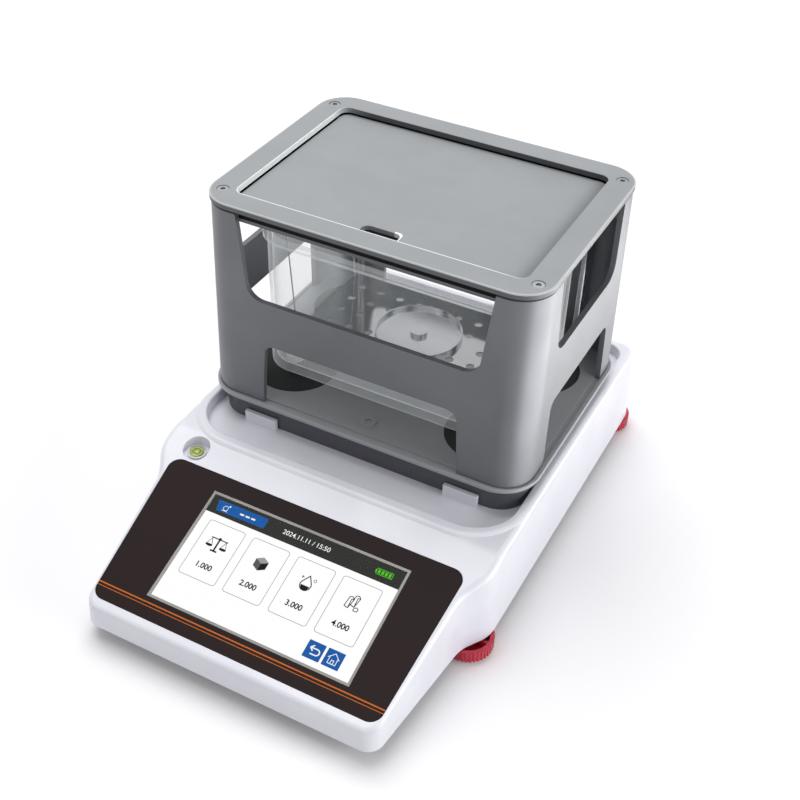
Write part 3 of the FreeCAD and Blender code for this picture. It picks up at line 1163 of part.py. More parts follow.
keep("lid_plate", cut("lid_plate_part",
     soft_block("lid_blank", around("lid_half_width"), around("lid_half_depth", "middle_y"),
                ("lid_under", "lid_top"), "lid_corner", top="lid_edge"),
     opening_outline("lid_opening", "0", ("lid_under - overrun", "lid_top + overrun"), "opening_corner"),
     *[rod(f"lid_hole{i}", "lid_screw_radius + screw_play", "lid_thick + 2 * overrun", x, y,
           "lid_under - overrun") for i, (x, y) in enumerate(lid_spots)],
     *[rod(f"lid_sink{i}", "lid_screw_head + lid_sink_play", "overrun", x, y, "lid_top - lid_sink")
       for i, (x, y) in enumerate(lid_spots)]))
lid_screw = screw("lid_screw", "lid_screw_radius", "lid_screw_head", "head_height",
                  "lid_thick - lid_sink + seal_thick + lid_screw_grip")
keep("lid_screws", copies("lid_screw_set", lid_screw, [(x, y, "lid_top - lid_sink") for x, y in lid_spots]))

frame_low = "(lid_under - inner_frame_height)"
skirt_low = "(lid_under - frame_skirt_height)"
flap_low = "(wall_top - flap_thick)"
pin_reach = "(pin_length / 2 + screw_play)"
pins = [("left", "-opening_half_width"), ("right", "opening_half_width")]
rear_clear = ("hinge_y - 2 * flap_barrel", "middle_y + opening_half_depth + opening_step")
frame_skirt = cut("frame_skirt",
                  wall_outline("frame_skirt_outer", "shield_wall + inner_frame_play", (skirt_low, "lid_under")),
                  wall_outline("frame_skirt_inner", "shield_wall + inner_frame_play + frame_skirt_thick",
                               (f"{skirt_low} - overrun", "lid_under + overrun")))
inner = cut("inner_frame_part", fuse("inner_frame_blank", frame_skirt,
            wall_outline("inner_frame_ring", "shield_wall + inner_frame_play", (frame_low, "lid_under"))),
            opening_outline("frame_pocket", "opening_step", (flap_low, "lid_under + overrun"),
                            "opening_corner"),
            opening_outline("frame_opening", "(opening_step - ledge_width)",
                            (f"{frame_low} - overrun", "lid_under"), "opening_corner"),
            block("frame_rear_clear", around("opening_half_width + opening_step"), rear_clear,
                  (f"{frame_low} - overrun", "lid_under + overrun")),
            *[rod(f"frame_boss_clear{i}", "lid_boss_radius + inner_frame_play", "frame_skirt_height + 2 * overrun",
                  x, y, f"{skirt_low} - overrun") for i, (x, y) in enumerate(lid_spots)],
            *[rod(f"frame_pin_hole_{side}", "pin_radius", f"2 * {pin_reach}", f"{x} - {pin_reach}", "hinge_y",
                  "hinge_z", ALONG_X) for side, x in pins])
keep("lid_inner_frame", inner)
flap_sheet = cut("flap_sheet", soft_block("flap_blank", around("opening_half_width - flap_play"),
                                          around("opening_half_depth - flap_play", "middle_y"),
                                          (flap_low, "wall_top"), "opening_corner", top="lid_edge"),
                 soft_block("flap_notch", around("notch_half_width"),
                            ("middle_y - opening_half_depth - notch_depth",
                             "middle_y - opening_half_depth + notch_depth"),
                            (f"{flap_low} - overrun", "wall_top + overrun"), "notch_corner"))
flap = cut("flap_part", fuse("flap_joined", flap_sheet,
                             rod("flap_barrel_part", "flap_barrel", "2 * (opening_half_width - flap_play)",
                                 "-(opening_half_width - flap_play)", "hinge_y", "hinge_z", ALONG_X)),
           *[rod(f"flap_pin_hole_{side}", "pin_radius + pin_play", f"2 * {pin_reach}", f"{x} - {pin_reach}",
                 "hinge_y", "hinge_z", ALONG_X) for side, x in pins])
keep("lid_flap", flap)
keep("hinge_pins", group("pin_set", [rod(f"hinge_pin_{side}", "pin_radius", "pin_length",
                                         f"{x} - pin_length / 2", "hinge_y", "hinge_z", ALONG_X)
                                     for side, x in pins]))

print("rear")
port_z = "(body_bottom + (rear_slot_low + rear_slot_high) / 2)"
face_y = "(panel_y + flange_thick)"
back_y = "(panel_y - rear_panel_thick)"
jack_at, port_at, switch_at = "-connector_x", "0", "connector_x"


def rear_block(name, half, tall, y, x):
    return block(name, around(half, x), y, around(tall, port_z))


def rear_rod(name, radius, y, x, up="0"):
    return rod(name, radius, f"({y[1]}) - ({y[0]})", x, y[0], f"{port_z} + {up}", ALONG_Y)


through_panel = (f"{back_y} - overrun", "panel_y + overrun")
panel = cut("rear_panel_part", fuse("rear_panel_blank",
            block("rear_panel_wall", around("rear_slot_half + rear_panel_margin"), (back_y, "panel_y"),
                  ("cover_top", "body_bottom + rear_slot_high + rear_panel_margin")),
            block("rear_panel_foot_part", around("rear_slot_half"), (f"{back_y} - rear_panel_foot", back_y),
                  ("cover_top", "cover_top + rear_panel_thick"))),
            rear_rod("panel_jack_hole", "jack_radius", through_panel, jack_at),
            rear_block("panel_port_hole", "port_shell_half_width", "port_shell_half_height", through_panel,
                       port_at),
            rear_block("panel_switch_hole", "switch_half_width - flange_thick",
                       "switch_half_height - flange_thick", through_panel, switch_at),
            *[rod(f"panel_foot_hole{i}", "small_screw + screw_play", "3 * rear_panel_thick", x, y,
                  "cover_top - rear_panel_thick") for i, (x, y) in enumerate(panel_feet)])
keep("rear_panel", panel)
bore = (f"{face_y} - jack_depth + jack_nose", f"{face_y} + overrun")
keep("dc_jack", fuse("jack_joined", cut("jack_part", fuse("jack_blank",
     rear_rod("jack_flange", "jack_radius + flange_thick", ("panel_y", face_y), jack_at),
     rear_rod("jack_body", "jack_radius", (f"{face_y} - jack_depth", face_y), jack_at)),
     rear_rod("jack_bore_cut", "jack_bore", bore, jack_at)),
     rear_rod("jack_pin_part", "jack_pin", (f"{face_y} - jack_depth", f"{face_y} - jack_pin_sink"), jack_at)))
shell_end = f"{face_y} + port_depth"
pins_at = [(f"{i} * port_pin_pitch", "port_row") for i in range(-2, 3)]
pins_at += [(f"({2 * i + 1}) / 2 * port_pin_pitch", "(-port_row)") for i in range(-2, 2)]
port = fuse("port_joined", rear_block("port_flange", "port_half_width", "port_half_height",
                                      ("panel_y", face_y), port_at),
            rear_block("port_back", "port_shell_half_width", "port_shell_half_height",
                       (f"{back_y} - port_nose", "panel_y"), port_at),
            cut("port_shell", rear_block("port_shell_blank", "port_shell_half_width - port_shell_wall",
                                         "port_shell_half_height - port_shell_wall", (face_y, shell_end),
                                         port_at),
                rear_block("port_shell_mouth", "port_shell_half_width - 2 * port_shell_wall",
                           "port_shell_half_height - 2 * port_shell_wall", (face_y, f"{shell_end} + overrun"),
                           port_at)),
            *[rear_rod(f"port_pin{i}", "port_pin", (face_y, f"{shell_end} - jack_pin_sink"), x, up)
              for i, (x, up) in enumerate(pins_at)])
keep("serial_port", port)
inner_half, inner_tall = "switch_half_width - switch_border", "switch_half_height - switch_border"
rocker_half = f"({inner_half} - rocker_play)"
axis_y = f"({face_y} - rocker_sink)"
switch = cut("switch_part", fuse("switch_blank",
             rear_block("switch_flange", "switch_half_width", "switch_half_height", ("panel_y", face_y),
                        switch_at),
             rear_block("switch_body", "switch_half_width - flange_thick",
                        "switch_half_height - flange_thick", (f"{face_y} - switch_depth", face_y), switch_at)),
             rear_block("switch_hollow", inner_half, inner_tall,
                        (f"{axis_y} - 2 * rocker_face", f"{face_y} + overrun"), switch_at),
             rod("switch_pin_hole", "rocker_pin + stud_play", f"2 * ({rocker_half} + rocker_pin_reach + screw_play)",
                 f"{switch_at} - ({rocker_half} + rocker_pin_reach + screw_play)", axis_y, port_z, ALONG_X))
keep("switch_frame", switch)
rocker = fuse("rocker_joined", block("rocker_block", around(rocker_half),
                                     around("rocker_face"), around(f"{inner_tall} - rocker_play")),
              rod("rocker_pins", "rocker_pin", f"2 * ({rocker_half} + rocker_pin_reach)",
                  f"-({rocker_half} + rocker_pin_reach)", "0", "0", ALONG_X))
rocker_set = group("rocker_part", [rocker])
rocker_set.Placement = FreeCAD.Placement(FreeCAD.Vector(), FreeCAD.Rotation(FreeCAD.Vector(1, 0, 0), 1))
bind(rocker_set, {"Placement.Rotation.Angle": "switch_throw"})
keep("switch_rocker", place(rocker_set, switch_at, axis_y, port_z))

doc.recompute()
for item in doc.Objects:
    if "Invalid" in item.State or "Error" in item.State:
        raise RuntimeError(f"{item.Label}: {item.State}")
for item in nodes:
    if item.Shape.isNull() or not item.Shape.isValid():
        raise RuntimeError(f"{item.Label}: no valid shape")
os.makedirs("parts", exist_ok=True)
for item in nodes:
    item.Shape.exportStep(f"parts/{item.Label}.step")
print("wrote", len(nodes), "parts")
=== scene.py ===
import bpy
import math
from mathutils import Matrix, Vector


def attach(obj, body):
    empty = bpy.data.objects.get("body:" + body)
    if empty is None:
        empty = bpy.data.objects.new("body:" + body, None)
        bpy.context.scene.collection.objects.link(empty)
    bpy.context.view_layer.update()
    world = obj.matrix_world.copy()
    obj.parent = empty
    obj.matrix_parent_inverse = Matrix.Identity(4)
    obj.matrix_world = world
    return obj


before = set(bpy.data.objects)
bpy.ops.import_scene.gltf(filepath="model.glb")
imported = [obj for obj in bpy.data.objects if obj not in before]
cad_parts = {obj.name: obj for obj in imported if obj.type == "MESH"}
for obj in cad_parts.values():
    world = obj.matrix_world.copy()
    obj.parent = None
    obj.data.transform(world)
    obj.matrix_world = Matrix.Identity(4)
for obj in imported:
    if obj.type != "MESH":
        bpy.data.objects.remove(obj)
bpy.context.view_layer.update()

scene = bpy.context.scene
scene.view_settings.view_transform = "Standard"
mm = 0.001

# The screen's slope: its middle and its tilt, as the housing carries them
slope = {"tilt": 18.3, "middle": (0, -143.56, 52.46), "panelX": 4.2}
slopeTurn = Matrix.Rotation(math.radians(slope["tilt"]), 4, "X")
slopePlace = Matrix.Translation(Vector(slope["middle"]) * mm) @ slopeTurn


def srgb(code):
    # A colour as it is written in a picture, turned into the renderer's own numbers
    parts = [int(code[i:i + 2], 16) / 255 for i in (0, 2, 4)]
    linear = [c / 12.92 if c <= 0.04045 else ((c + 0.055) / 1.055) ** 2.4 for c in parts]
    return (*linear, 1)


class Wire:
    # A socket that can be used in sums
    def __init__(self, tree, socket=None):
        self.tree = tree
        self.socket = socket

    def node(self, kind, settings=None, inputs=None, out=0):
        made = self.tree.nodes.new(kind)
        for name, value in (settings or {}).items():
            if name == "stops":
                ramp = made.color_ramp
                while len(ramp.elements) < len(value):
                    ramp.elements.new(0.5)
                for element, (place, colour) in zip(ramp.elements, value):
                    element.position = place
                    element.color = colour
            else:
                setattr(made, name, value)
        for name, value in (inputs or {}).items():
            if isinstance(value, Wire):
                self.tree.links.new(value.socket, made.inputs[name])
            else:
                made.inputs[name].default_value = value
        if not made.outputs:
            return self
        return Wire(self.tree, made.outputs[out])

    def sum(self, operation, *values):
        return self.node("ShaderNodeMath", {"operation": operation}, dict(enumerate(values)))

    def __add__(self, other):
        return self.sum("ADD", self, other)

    def __radd__(self, other):
        return self.sum("ADD", other, self)

    def __sub__(self, other):
        return self.sum("SUBTRACT", self, other)

    def __rsub__(self, other):
        return self.sum("SUBTRACT", other, self)

    def __mul__(self, other):
        return self.sum("MULTIPLY", self, other)

    def __rmul__(self, other):
        return self.sum("MULTIPLY", other, self)

    def __lt__(self, other):
        return self.sum("LESS_THAN", self, other)

    def __gt__(self, other):
        return self.sum("GREATER_THAN", self, other)

    def __abs__(self):
        return self.sum("ABSOLUTE", self)

    def larger(self, other):
        return self.sum("MAXIMUM", self, other)

    def smaller(self, other):
        return self.sum("MINIMUM", self, other)

    def between(self, low, high):
        return self.node("ShaderNodeMapRange", {"interpolation_type": "SMOOTHSTEP"},
                         {"Value": self, "From Min": low, "From Max": high})

    def mix(self, first, second):
        return self.node("ShaderNodeMix", {"data_type": "RGBA"},
                         {0: self, 6: first, 7: second}, out=2)


def emptyTree(owner):
    owner.use_nodes = True
    owner.node_tree.nodes.clear()
    return Wire(owner.node_tree)


def newMaterial(name):
    material = bpy.data.materials.new(name)
    start = emptyTree(material)
    place = start.node("ShaderNodeTexCoord", out="Object")
    return material, start, place


def outlineDistance(x, y, halfWide, halfDeep, corner, middleY):
    # Millimetres from a rectangle with round corners, less than 0 inside it
    across = abs(x * (1 / mm)) - (halfWide - corner)
    along = abs(y * (1 / mm) - middleY) - (halfDeep - corner)
    squares = across.larger(0) * across.larger(0) + along.larger(0) * along.larger(0)
    return x.sum("POWER", squares, 0.5) + across.larger(along).smaller(0) - corner


def finishMaterial(start, inputs):
    shader = start.node("ShaderNodeBsdfPrincipled", None, inputs)
    start.node("ShaderNodeOutputMaterial", None, {"Surface": shader})


def noise(place, size, detail=2.0, rough=0.5, stretch=None):
    # Noise whose grains are about the size given in millimetres
    where = place
    if stretch:
        where = place.node("ShaderNodeMapping", None, {"Vector": place, "Scale": stretch})
    return where.node("ShaderNodeTexNoise", None, {"Vector": where, "Scale": 1 / (size * mm),
                                                   "Detail": detail, "Roughness": rough})


def axes(place):
    parts = place.node("ShaderNodeSeparateXYZ", None, {"Vector": place})
    node = parts.socket.node
    return [Wire(place.tree, node.outputs[i]) for i in range(3)]


def alongSlope(place):
    # Distances in millimetres across the screen's slope and up along it
    x, y, z = axes(place)
    tilt = math.radians(slope["tilt"])
    middleY, middleZ = slope["middle"][1:]
    along = (y * (1 / mm) - middleY) * math.cos(tilt) + (z * (1 / mm) - middleZ) * math.sin(tilt)
    return x * (1 / mm), along


def bump(height, depth, distance=1.0):
    return height.node("ShaderNodeBump", None,
                       {"Height": height, "Strength": depth, "Distance": distance * mm})


# Colour, second shade, roughness, size of the grain in millimetres, its depth and the clear coat
finishParts = ("colour", "shade", "rough", "grain", "depth", "coat")
finishRows = {
    "housing": ("E4E4EC", "DFDFE8", 0.33, 0.5, 0.12, 0.15),
    "cover": ("3A3B40", "303136", 0.55, 0.6, 0.3, 0.0),
    "shield": ("717276", "6D6E72", 0.4, 0.35, 0.25, 0.0),
    "lid": ("8F9396", "8B8F92", 0.42, 0.35, 0.25, 0.0),
    "bezel": ("918E8A", "85827E", 0.4, 0.5, 0.1, 0.0),
    "ringLight": ("E4E5E7", "D6D8DA", 0.2, 0.5, 0.05, 0.5),
    "bezelDark": ("3A3A3C", "343436", 0.4, 0.5, 0.1, 0.0),
    "footRed": ("C9203C", "B51833", 0.35, 0.4, 0.1, 0.2),
    "bubble": ("B4C257", "A9B84A", 0.1, 1.0, 0.02, 1.0),
    "pocket": ("3A3C3F", "333538", 0.45, 0.5, 0.2, 0.0),
    "blackPlastic": ("1B1C1E", "141517", 0.4, 0.5, 0.2, 0.0),
    "rubber": ("17181A", "202124", 0.75, 0.4, 0.4, 0.0),
    "batteryWrap": ("2A5C9A", "244F86", 0.3, 3.0, 0.2, 0.2),
    "board": ("1E6B3C", "185A31", 0.35, 1.2, 0.2, 0.3),
}
finishes = {name: dict(zip(finishParts, row)) for name, row in finishRows.items()}
clouds = {"size": 45, "detail": 3.0, "from": 0.35, "to": 0.65, "dulling": 0.12, "grainDeep": 0.05}


def paintCoat(place, finish):
    # Two close shades in soft clouds, a roughness that follows them, and a fine grain
    cloud = noise(place, clouds["size"], clouds["detail"])
    shades = srgb(finish["colour"]), srgb(finish["shade"])
    colour = cloud.between(clouds["from"], clouds["to"]).mix(*shades)
    rough = cloud * clouds["dulling"] + (finish["rough"] - clouds["dulling"] / 2)
    return colour, rough, bump(noise(place, finish["grain"]), finish["depth"], clouds["grainDeep"])


def moulded(name):
    material, start, place = newMaterial(name)
    colour, rough, grain = paintCoat(place, finishes[name])
    finishMaterial(start, {"Base Color": colour, "Roughness": rough,
                           "Coat Weight": finishes[name]["coat"], "Normal": grain})
    return material


metals = {
    "brushedSteel": {"colour": "B8BBBE", "rough": 0.28, "line": 0.25, "stretch": (1, 12, 12)},
    "screwSteel": {"colour": "97999C", "rough": 0.38, "line": 0.25, "stretch": (1, 1, 1)},
    "aluminium": {"colour": "B4B6B9", "rough": 0.35, "line": 0.3, "stretch": (1, 10, 10)},
    "brass": {"colour": "C2A35A", "rough": 0.3, "line": 0.3, "stretch": (1, 1, 9)},
    "mirrorSteel": {"colour": "AEB0B2", "rough": 0.07, "line": 0.6, "stretch": (1, 6, 6)},
    "chrome": {"colour": "BFC1C4", "rough": 0.2, "line": 0.8, "stretch": (1, 1, 1)},
}


metalWear = {"detail": 3.0, "streak": 0.6, "smudge": 18, "base": 0.6, "streaks": 0.5, "smudges": 0.3,
             "depth": 0.1, "deep": 0.01}


def metal(name):
    # Polished or brushed metal, its gloss uneven along the brushing and where it was touched
    finish = metals[name]
    material, start, place = newMaterial(name)
    streaks = noise(place, finish["line"], metalWear["detail"], metalWear["streak"], finish["stretch"])
    smudge = noise(place, metalWear["smudge"], metalWear["detail"])
    base, uneven, touched = [finish["rough"] * metalWear[key] for key in ("base", "streaks", "smudges")]
    finishMaterial(start, {"Base Color": srgb(finish["colour"]), "Metallic": 1.0,
                           "Roughness": streaks * uneven + base + smudge * touched,
                           "Normal": bump(streaks, metalWear["depth"], metalWear["deep"])})
    return material


# A near black band painted along the shield's top edge: painted shade for the shadow gap under the lid
shieldGapShade = {"from": 247.6, "colour": "17181A", "dull": 0.3, "paintMetal": 0.45}


def shieldMaterial():
    # The shield's paint, ending in a near black band of painted shade for the shadow gap under the lid
    material, start, place = newMaterial("shield")
    x, y, z = axes(place)
    isPaintedGapShade = z > shieldGapShade["from"] * mm
    colour, rough, grain = paintCoat(place, finishes["shield"])
    finishMaterial(start, {"Base Color": isPaintedGapShade.mix(colour, srgb(shieldGapShade["colour"])),
                           "Roughness": rough + isPaintedGapShade * shieldGapShade["dull"],
                           "Metallic": (1 - isPaintedGapShade) * shieldGapShade["paintMetal"], "Normal": grain})
    return material


# Painted light and shade on the lid: line is the colour of the painted highlights, wall and side the colours
# of the painted shade
lidPaint = {"opening": {"halfWide": 107.84, "halfDeep": 75.44, "corner": 7, "middleY": 66},
            "rim": {"halfWide": 126.8, "halfDeep": 93.3, "corner": 24, "middleY": 66},
            "line": "F2F4F5", "edgeHighlightWide": 0.8, "edgeHighlightEnds": (-0.25, 0.1), "edgeHighlightGloss": 0.15,
            "wall": "424447", "wallShadeTop": 253.2, "wallShadeEdge": (0.3, 0.8), "wallShadeStart": (-0.1, 0.25),
            "side": "55575A", "shadedSideTop": 252.7, "shadedSideEdge": (-1.2, -0.6),
            "rimHighlightEdge": (-1.6, -0.5), "rimHighlight": 0.3}


def lidMaterial():
    # The lid's paint, with a painted highlight on the bare edge round its opening and painted shade on the
    # wall under it
    material, start, place = newMaterial("lidPlate")
    x, y, z = axes(place)
    colour, rough, grain = paintCoat(place, finishes["lid"])
    opening = lidPaint["opening"]
    away = outlineDistance(x, y, **opening)
    # from the front left corner, below 0, to the rear right one, above 0
    alongX = x * (1 / mm / opening["halfWide"])
    corners = alongX + (y * (1 / mm) - opening["middleY"]) * (1 / opening["halfDeep"])
    # painted highlight on the edge on the left and in front, and painted shade on the wall under it at the
    # rear right
    edgeHighlightWide = lidPaint["edgeHighlightWide"]
    edge = (1 - away.between(edgeHighlightWide / 2, edgeHighlightWide)) * (1 - corners.between(*lidPaint["edgeHighlightEnds"]))
    wall = (z < lidPaint["wallShadeTop"] * mm) * (1 - away.between(*lidPaint["wallShadeEdge"]))
    wall = wall * corners.between(*lidPaint["wallShadeStart"])
    # a painted highlight makes the plate's outer edge a little lighter, and painted shade makes its sides
    # darker
    rimAway = outlineDistance(x, y, **lidPaint["rim"])
    isShadedSide = (z < lidPaint["shadedSideTop"] * mm) * rimAway.between(*lidPaint["shadedSideEdge"])
    rim = rimAway.between(*lidPaint["rimHighlightEdge"]) * (1 - isShadedSide) * lidPaint["rimHighlight"]
    # the near white of the painted highlights on the opening's edge and the outer edge
    line = srgb(lidPaint["line"])
    colour = isShadedSide.mix(rim.mix(wall.mix(colour, srgb(lidPaint["wall"])), line), srgb(lidPaint["side"]))
    finishMaterial(start, {"Base Color": edge.mix(colour, line),
                           "Roughness": rough - edge * lidPaint["edgeHighlightGloss"], "Normal": grain})
    return material


# shade is the colour of the painted shade along the right and rear edges, rim that of the painted highlight
# at the notch
flapPaint = {"right": (90, 107), "rear": (136, 141.4), "shade": "55575A", "most": 0.75,
             "notch": {"halfWide": 14, "halfDeep": 10, "corner": 3, "middleY": -3.4},
             "rim": "F0F2F3", "notchHighlightWide": 0.9, "notchHighlightFrom": 8}


def flapMaterial():
    # The flap's paint, with painted shade along its right and rear edges and a painted highlight on the rim
    # at the finger notch
    material, start, place = newMaterial("lidFlap")
    x, y, z = axes(place)
    colour, rough, grain = paintCoat(place, finishes["lid"])
    right = (x * (1 / mm)).between(*flapPaint["right"])
    rear = (y * (1 / mm)).between(*flapPaint["rear"])
    # painted shade, strongest at the right and rear edges
    flapPaintedShade = (right * right).larger(rear) * flapPaint["most"]
    away = outlineDistance(x, y, **flapPaint["notch"])
    notchHighlightWide = flapPaint["notchHighlightWide"]
    # painted highlight on the notch's rim, at its right end only
    rim = (1 - away.between(notchHighlightWide / 2, notchHighlightWide)) * (x > flapPaint["notchHighlightFrom"] * mm)
    colour = rim.mix(flapPaintedShade.mix(colour, srgb(flapPaint["shade"])), srgb(flapPaint["rim"]))
    finishMaterial(start, {"Base Color": colour, "Roughness": rough, "Normal": grain})
    return material


# The band's near black is painted shade for the shadow under the lid plate
railPaint = {"shadeBand": "060606", "rail": "707175", "edge": 243.0, "rough": 0.5, "gloss": 0.1,
             "grain": 0.35, "depth": 0.25, "rub": 12, "rubbed": 0.1}


def railMaterial():
    # The frame under the lid: a near black band above, painted shade for the shadow under the lid plate, and
    # the painted rail below
    material, start, place = newMaterial("innerRail")
    x, y, z = axes(place)
    # painted shade: near black above this height
    isShadeBand = z > railPaint["edge"] * mm
    grain = bump(noise(place, railPaint["grain"]), railPaint["depth"], clouds["grainDeep"])
    rubbed = noise(place, railPaint["rub"], clouds["detail"]) * railPaint["rubbed"]
    finishMaterial(start, {"Base Color": isShadeBand.mix(srgb(railPaint["rail"]), srgb(railPaint["shadeBand"])),
                           "Roughness": rubbed + railPaint["rough"],
                           "Specular IOR Level": railPaint["gloss"], "Normal": grain})
    return material


trayPaint = {"top": "96989B", "skirt": "4A4B52", "edge": 92.1, "rough": 0.42, "grain": 0.35,
             "depth": 0.25, "cloud": 40}


def trayMaterial():
    # The tray's paint: its top lighter than its skirt
    material, start, place = newMaterial("trayPaint")
    x, y, z = axes(place)
    isTop = z > trayPaint["edge"] * mm
    grain = bump(noise(place, trayPaint["grain"]), trayPaint["depth"], clouds["grainDeep"])
    cloud = noise(place, trayPaint["cloud"], clouds["detail"]) * clouds["dulling"]
    finishMaterial(start, {"Base Color": isTop.mix(srgb(trayPaint["skirt"]), srgb(trayPaint["top"])),
                           "Roughness": cloud + (trayPaint["rough"] - clouds["dulling"] / 2),
                           "Normal": grain})
    return material


overlayPrint = {"film": "2D2322", "shade": "292021", "line": "C96A2C", "wide": (-48.7, 0.45),
                "thin": (-51.1, 0.24), "reach": 112.5, "rough": 0.36, "gloss": 0.04,
                "speckle": 0.6, "dulling": 0.06, "depth": 0.06, "deep": 0.02}


def overlayMaterial():
    # The dark film, with two printed lines across its foot
    material, start, place = newMaterial("overlayFilm")
    across, along = alongSlope(place)
    wide = abs(along - overlayPrint["wide"][0]) < overlayPrint["wide"][1]
    thin = abs(along - overlayPrint["thin"][0]) < overlayPrint["thin"][1]
    lines = (wide + thin) * (abs(across) < overlayPrint["reach"])
    speckle = noise(place, overlayPrint["speckle"])
    film = speckle.between(0.3, 0.7).mix(srgb(overlayPrint["film"]), srgb(overlayPrint["shade"]))
    finishMaterial(start, {"Base Color": lines.mix(film, srgb(overlayPrint["line"])),
                           "Roughness": speckle * overlayPrint["dulling"] + overlayPrint["rough"],
                           "Specular IOR Level": overlayPrint["gloss"],
                           "Normal": bump(speckle, overlayPrint["depth"], overlayPrint["deep"])})
    return material


clearFinishes = {
    "tankClear": {"tint": "C6CCCF", "rough": 0.06, "face": 0.025, "edge": 0.85, "bend": 0.4,
                  "light": 0.4, "bands": ((0, 109.8, 0.03), (215.8, 300, 0.12))},
    "screenGlass": {"tint": "F4F6F8", "rough": 0.05, "face": 0.004, "edge": 0.1, "bend": 0.2,
                    "light": 0, "bands": ()},
}
clearHaze = {"size": 9, "detail": 3.0, "dulling": 0.04, "most": 0.95}


def clearMaterial(name):
    # Thin clear walls: nearly nothing seen straight on, bright where the surface turns away,
    # and a milky look in the thicker bands, each from one height in millimetres to another;
    # the small glow stands for the room light that thick plastic carries to its edges
    finish = clearFinishes[name]
    material, start, place = newMaterial(name)
    x, y, z = axes(place)
    haze = noise(place, clearHaze["size"], clearHaze["detail"])
    turned = start.node("ShaderNodeLayerWeight", None, {"Blend": finish["bend"]}, out="Facing")
    seen = turned * turned * finish["edge"] + haze * finish["face"] + finish["face"] / 2
    for low, high, more in finish["bands"]:
        seen = seen + (z > low * mm) * (z < high * mm) * more
    tint = srgb(finish["tint"])
    finishMaterial(start, {"Base Color": tint, "Roughness": haze * clearHaze["dulling"] + finish["rough"],
                           "Emission Color": haze.mix(tint, srgb("FFFFFF")),
                           "Emission Strength": finish["light"], "Alpha": seen.smaller(clearHaze["most"])})
    return material


vialLiquid = {"colour": "9FB12C", "deep": "7F921F", "rough": 0.08, "swirl": 3, "dulling": 0.05}


def vialMaterial():
    # The level's liquid under its glossy window
    material, start, place = newMaterial("vialLiquid")
    swirl = noise(place, vialLiquid["swirl"])
    colour = swirl.between(0.3, 0.7).mix(srgb(vialLiquid["colour"]), srgb(vialLiquid["deep"]))
    finishMaterial(start, {"Base Color": colour, "Coat Weight": 1.0,
                           "Roughness": swirl * vialLiquid["dulling"] + vialLiquid["rough"]})
    return material


litDisplay = {"pixel": 0.3, "dim": 0.97, "strength": 1.0, "unlit": "060606", "rough": 0.5, "gloss": 0.05}


def litMaterial(name, code):
    # A patch of the lit display: its colour glows, so room light hardly changes it
    material, start, place = newMaterial(name)
    full = srgb(code)
    dim = (*[part * litDisplay["dim"] for part in full[:3]], 1)
    glowing = noise(place, litDisplay["pixel"], 0.0).between(clouds["from"], clouds["to"]).mix(full, dim)
    finishMaterial(start, {"Base Color": srgb(litDisplay["unlit"]), "Roughness": litDisplay["rough"],
                           "Specular IOR Level": litDisplay["gloss"], "Emission Color": glowing,
                           "Emission Strength": litDisplay["strength"]})
    return material


print("materials")
paints = {name: moulded(name) for name in finishes if name not in ("shield", "lid")}
paints.update({name: metal(name) for name in metals})
paints["tray"] = trayMaterial()
paints["shield"] = shieldMaterial()
paints["lidPlate"] = lidMaterial()
paints["lidFlap"] = flapMaterial()
paints["innerRail"] = railMaterial()
paints["overlay"] = overlayMaterial()
paints["screenGlass"] = clearMaterial("screenGlass")
paints["tank"] = clearMaterial("tankClear")
paints["vial"] = vialMaterial()
lit = {"field": "FFFFFF", "header": "2B2C28", "blue": "0A58A4", "ink": "0B0B0C", "outline": "8E8E92",
       "green": "4FC21E", "sheen": "F4F7FA", "midGrey": "9A9A9A", "darkGrey": "565656"}
for name, code in lit.items():
    paints[name] = litMaterial("lit" + name[0].upper() + name[1:], code)

atCorners = ("front_left", "front_right", "rear_left", "rear_right")
nodePaints = {
    "housing": ["upper_housing"],
    "cover": ["bottom_cover", "rear_panel"],
    "shield": ["draft_shield"],
    "lidFlap": ["lid_flap"],
    "lidPlate": ["lid_plate"],
    "innerRail": ["lid_inner_frame"],
    "tray": ["splash_tray", "tray_screws"],
    "overlay": ["touch_overlay"],
    "bezel": ["screen_bezel"],
    "screenGlass": ["screen_glass"],
    "bezelDark": ["lcd_panel"],
    "board": ["display_board", "main_board"],
    "brushedSteel": ["cover_screws", "display_screws", "display_straps", "inner_screws",
                     "cell_base_screws", "cell_frame_screws", "overload_stops", "weigh_frame",
                     "weigh_risers", "pan_hangers", "measuring_bracket", "battery_strap", "hinge_pins",
                     "serial_port", *(f"foot_stud_{corner}" for corner in atCorners)],
    "screwSteel": ["lid_screws"],
    "ringLight": ["tank_rings"],
    "mirrorSteel": ["sink_plate", "upper_pan"],
    "chrome": ["sink_dish", "level_ring"],
    "aluminium": ["load_cell", "load_cell_base"],
    "brass": ["foot_inserts"],
    "footRed": [f"foot_wheel_{corner}" for corner in atCorners],
    "rubber": ["tank_pads", "lid_seal", *(f"foot_pad_{corner}" for corner in atCorners)],
    "tank": ["water_tank"],
    "blackPlastic": ["dc_jack", "switch_frame", "switch_rocker", "tank_feet"],
    "vial": ["level_vial"],
    "batteryWrap": ["battery_pack"],
}
for paint, names in nodePaints.items():
    for name in names:
        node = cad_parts[name]
        node.data.materials.clear()
        node.data.materials.append(paints[paint])
missing = set(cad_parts) - {name for names in nodePaints.values() for name in names}
print("nodes without a material:", missing)


def nothingPicked():
    if bpy.context.object and bpy.context.object.mode != "OBJECT":
        bpy.ops.object.mode_set(mode="OBJECT")
    bpy.ops.object.select_all(action="DESELECT")


def picked(piece):
    nothingPicked()
    piece.select_set(True)
    bpy.context.view_layer.objects.active = piece


def opened(piece):
    # The piece in edit mode, all of it selected
    picked(piece)
    bpy.ops.object.mode_set(mode="EDIT")
    bpy.ops.mesh.select_all(action="SELECT")


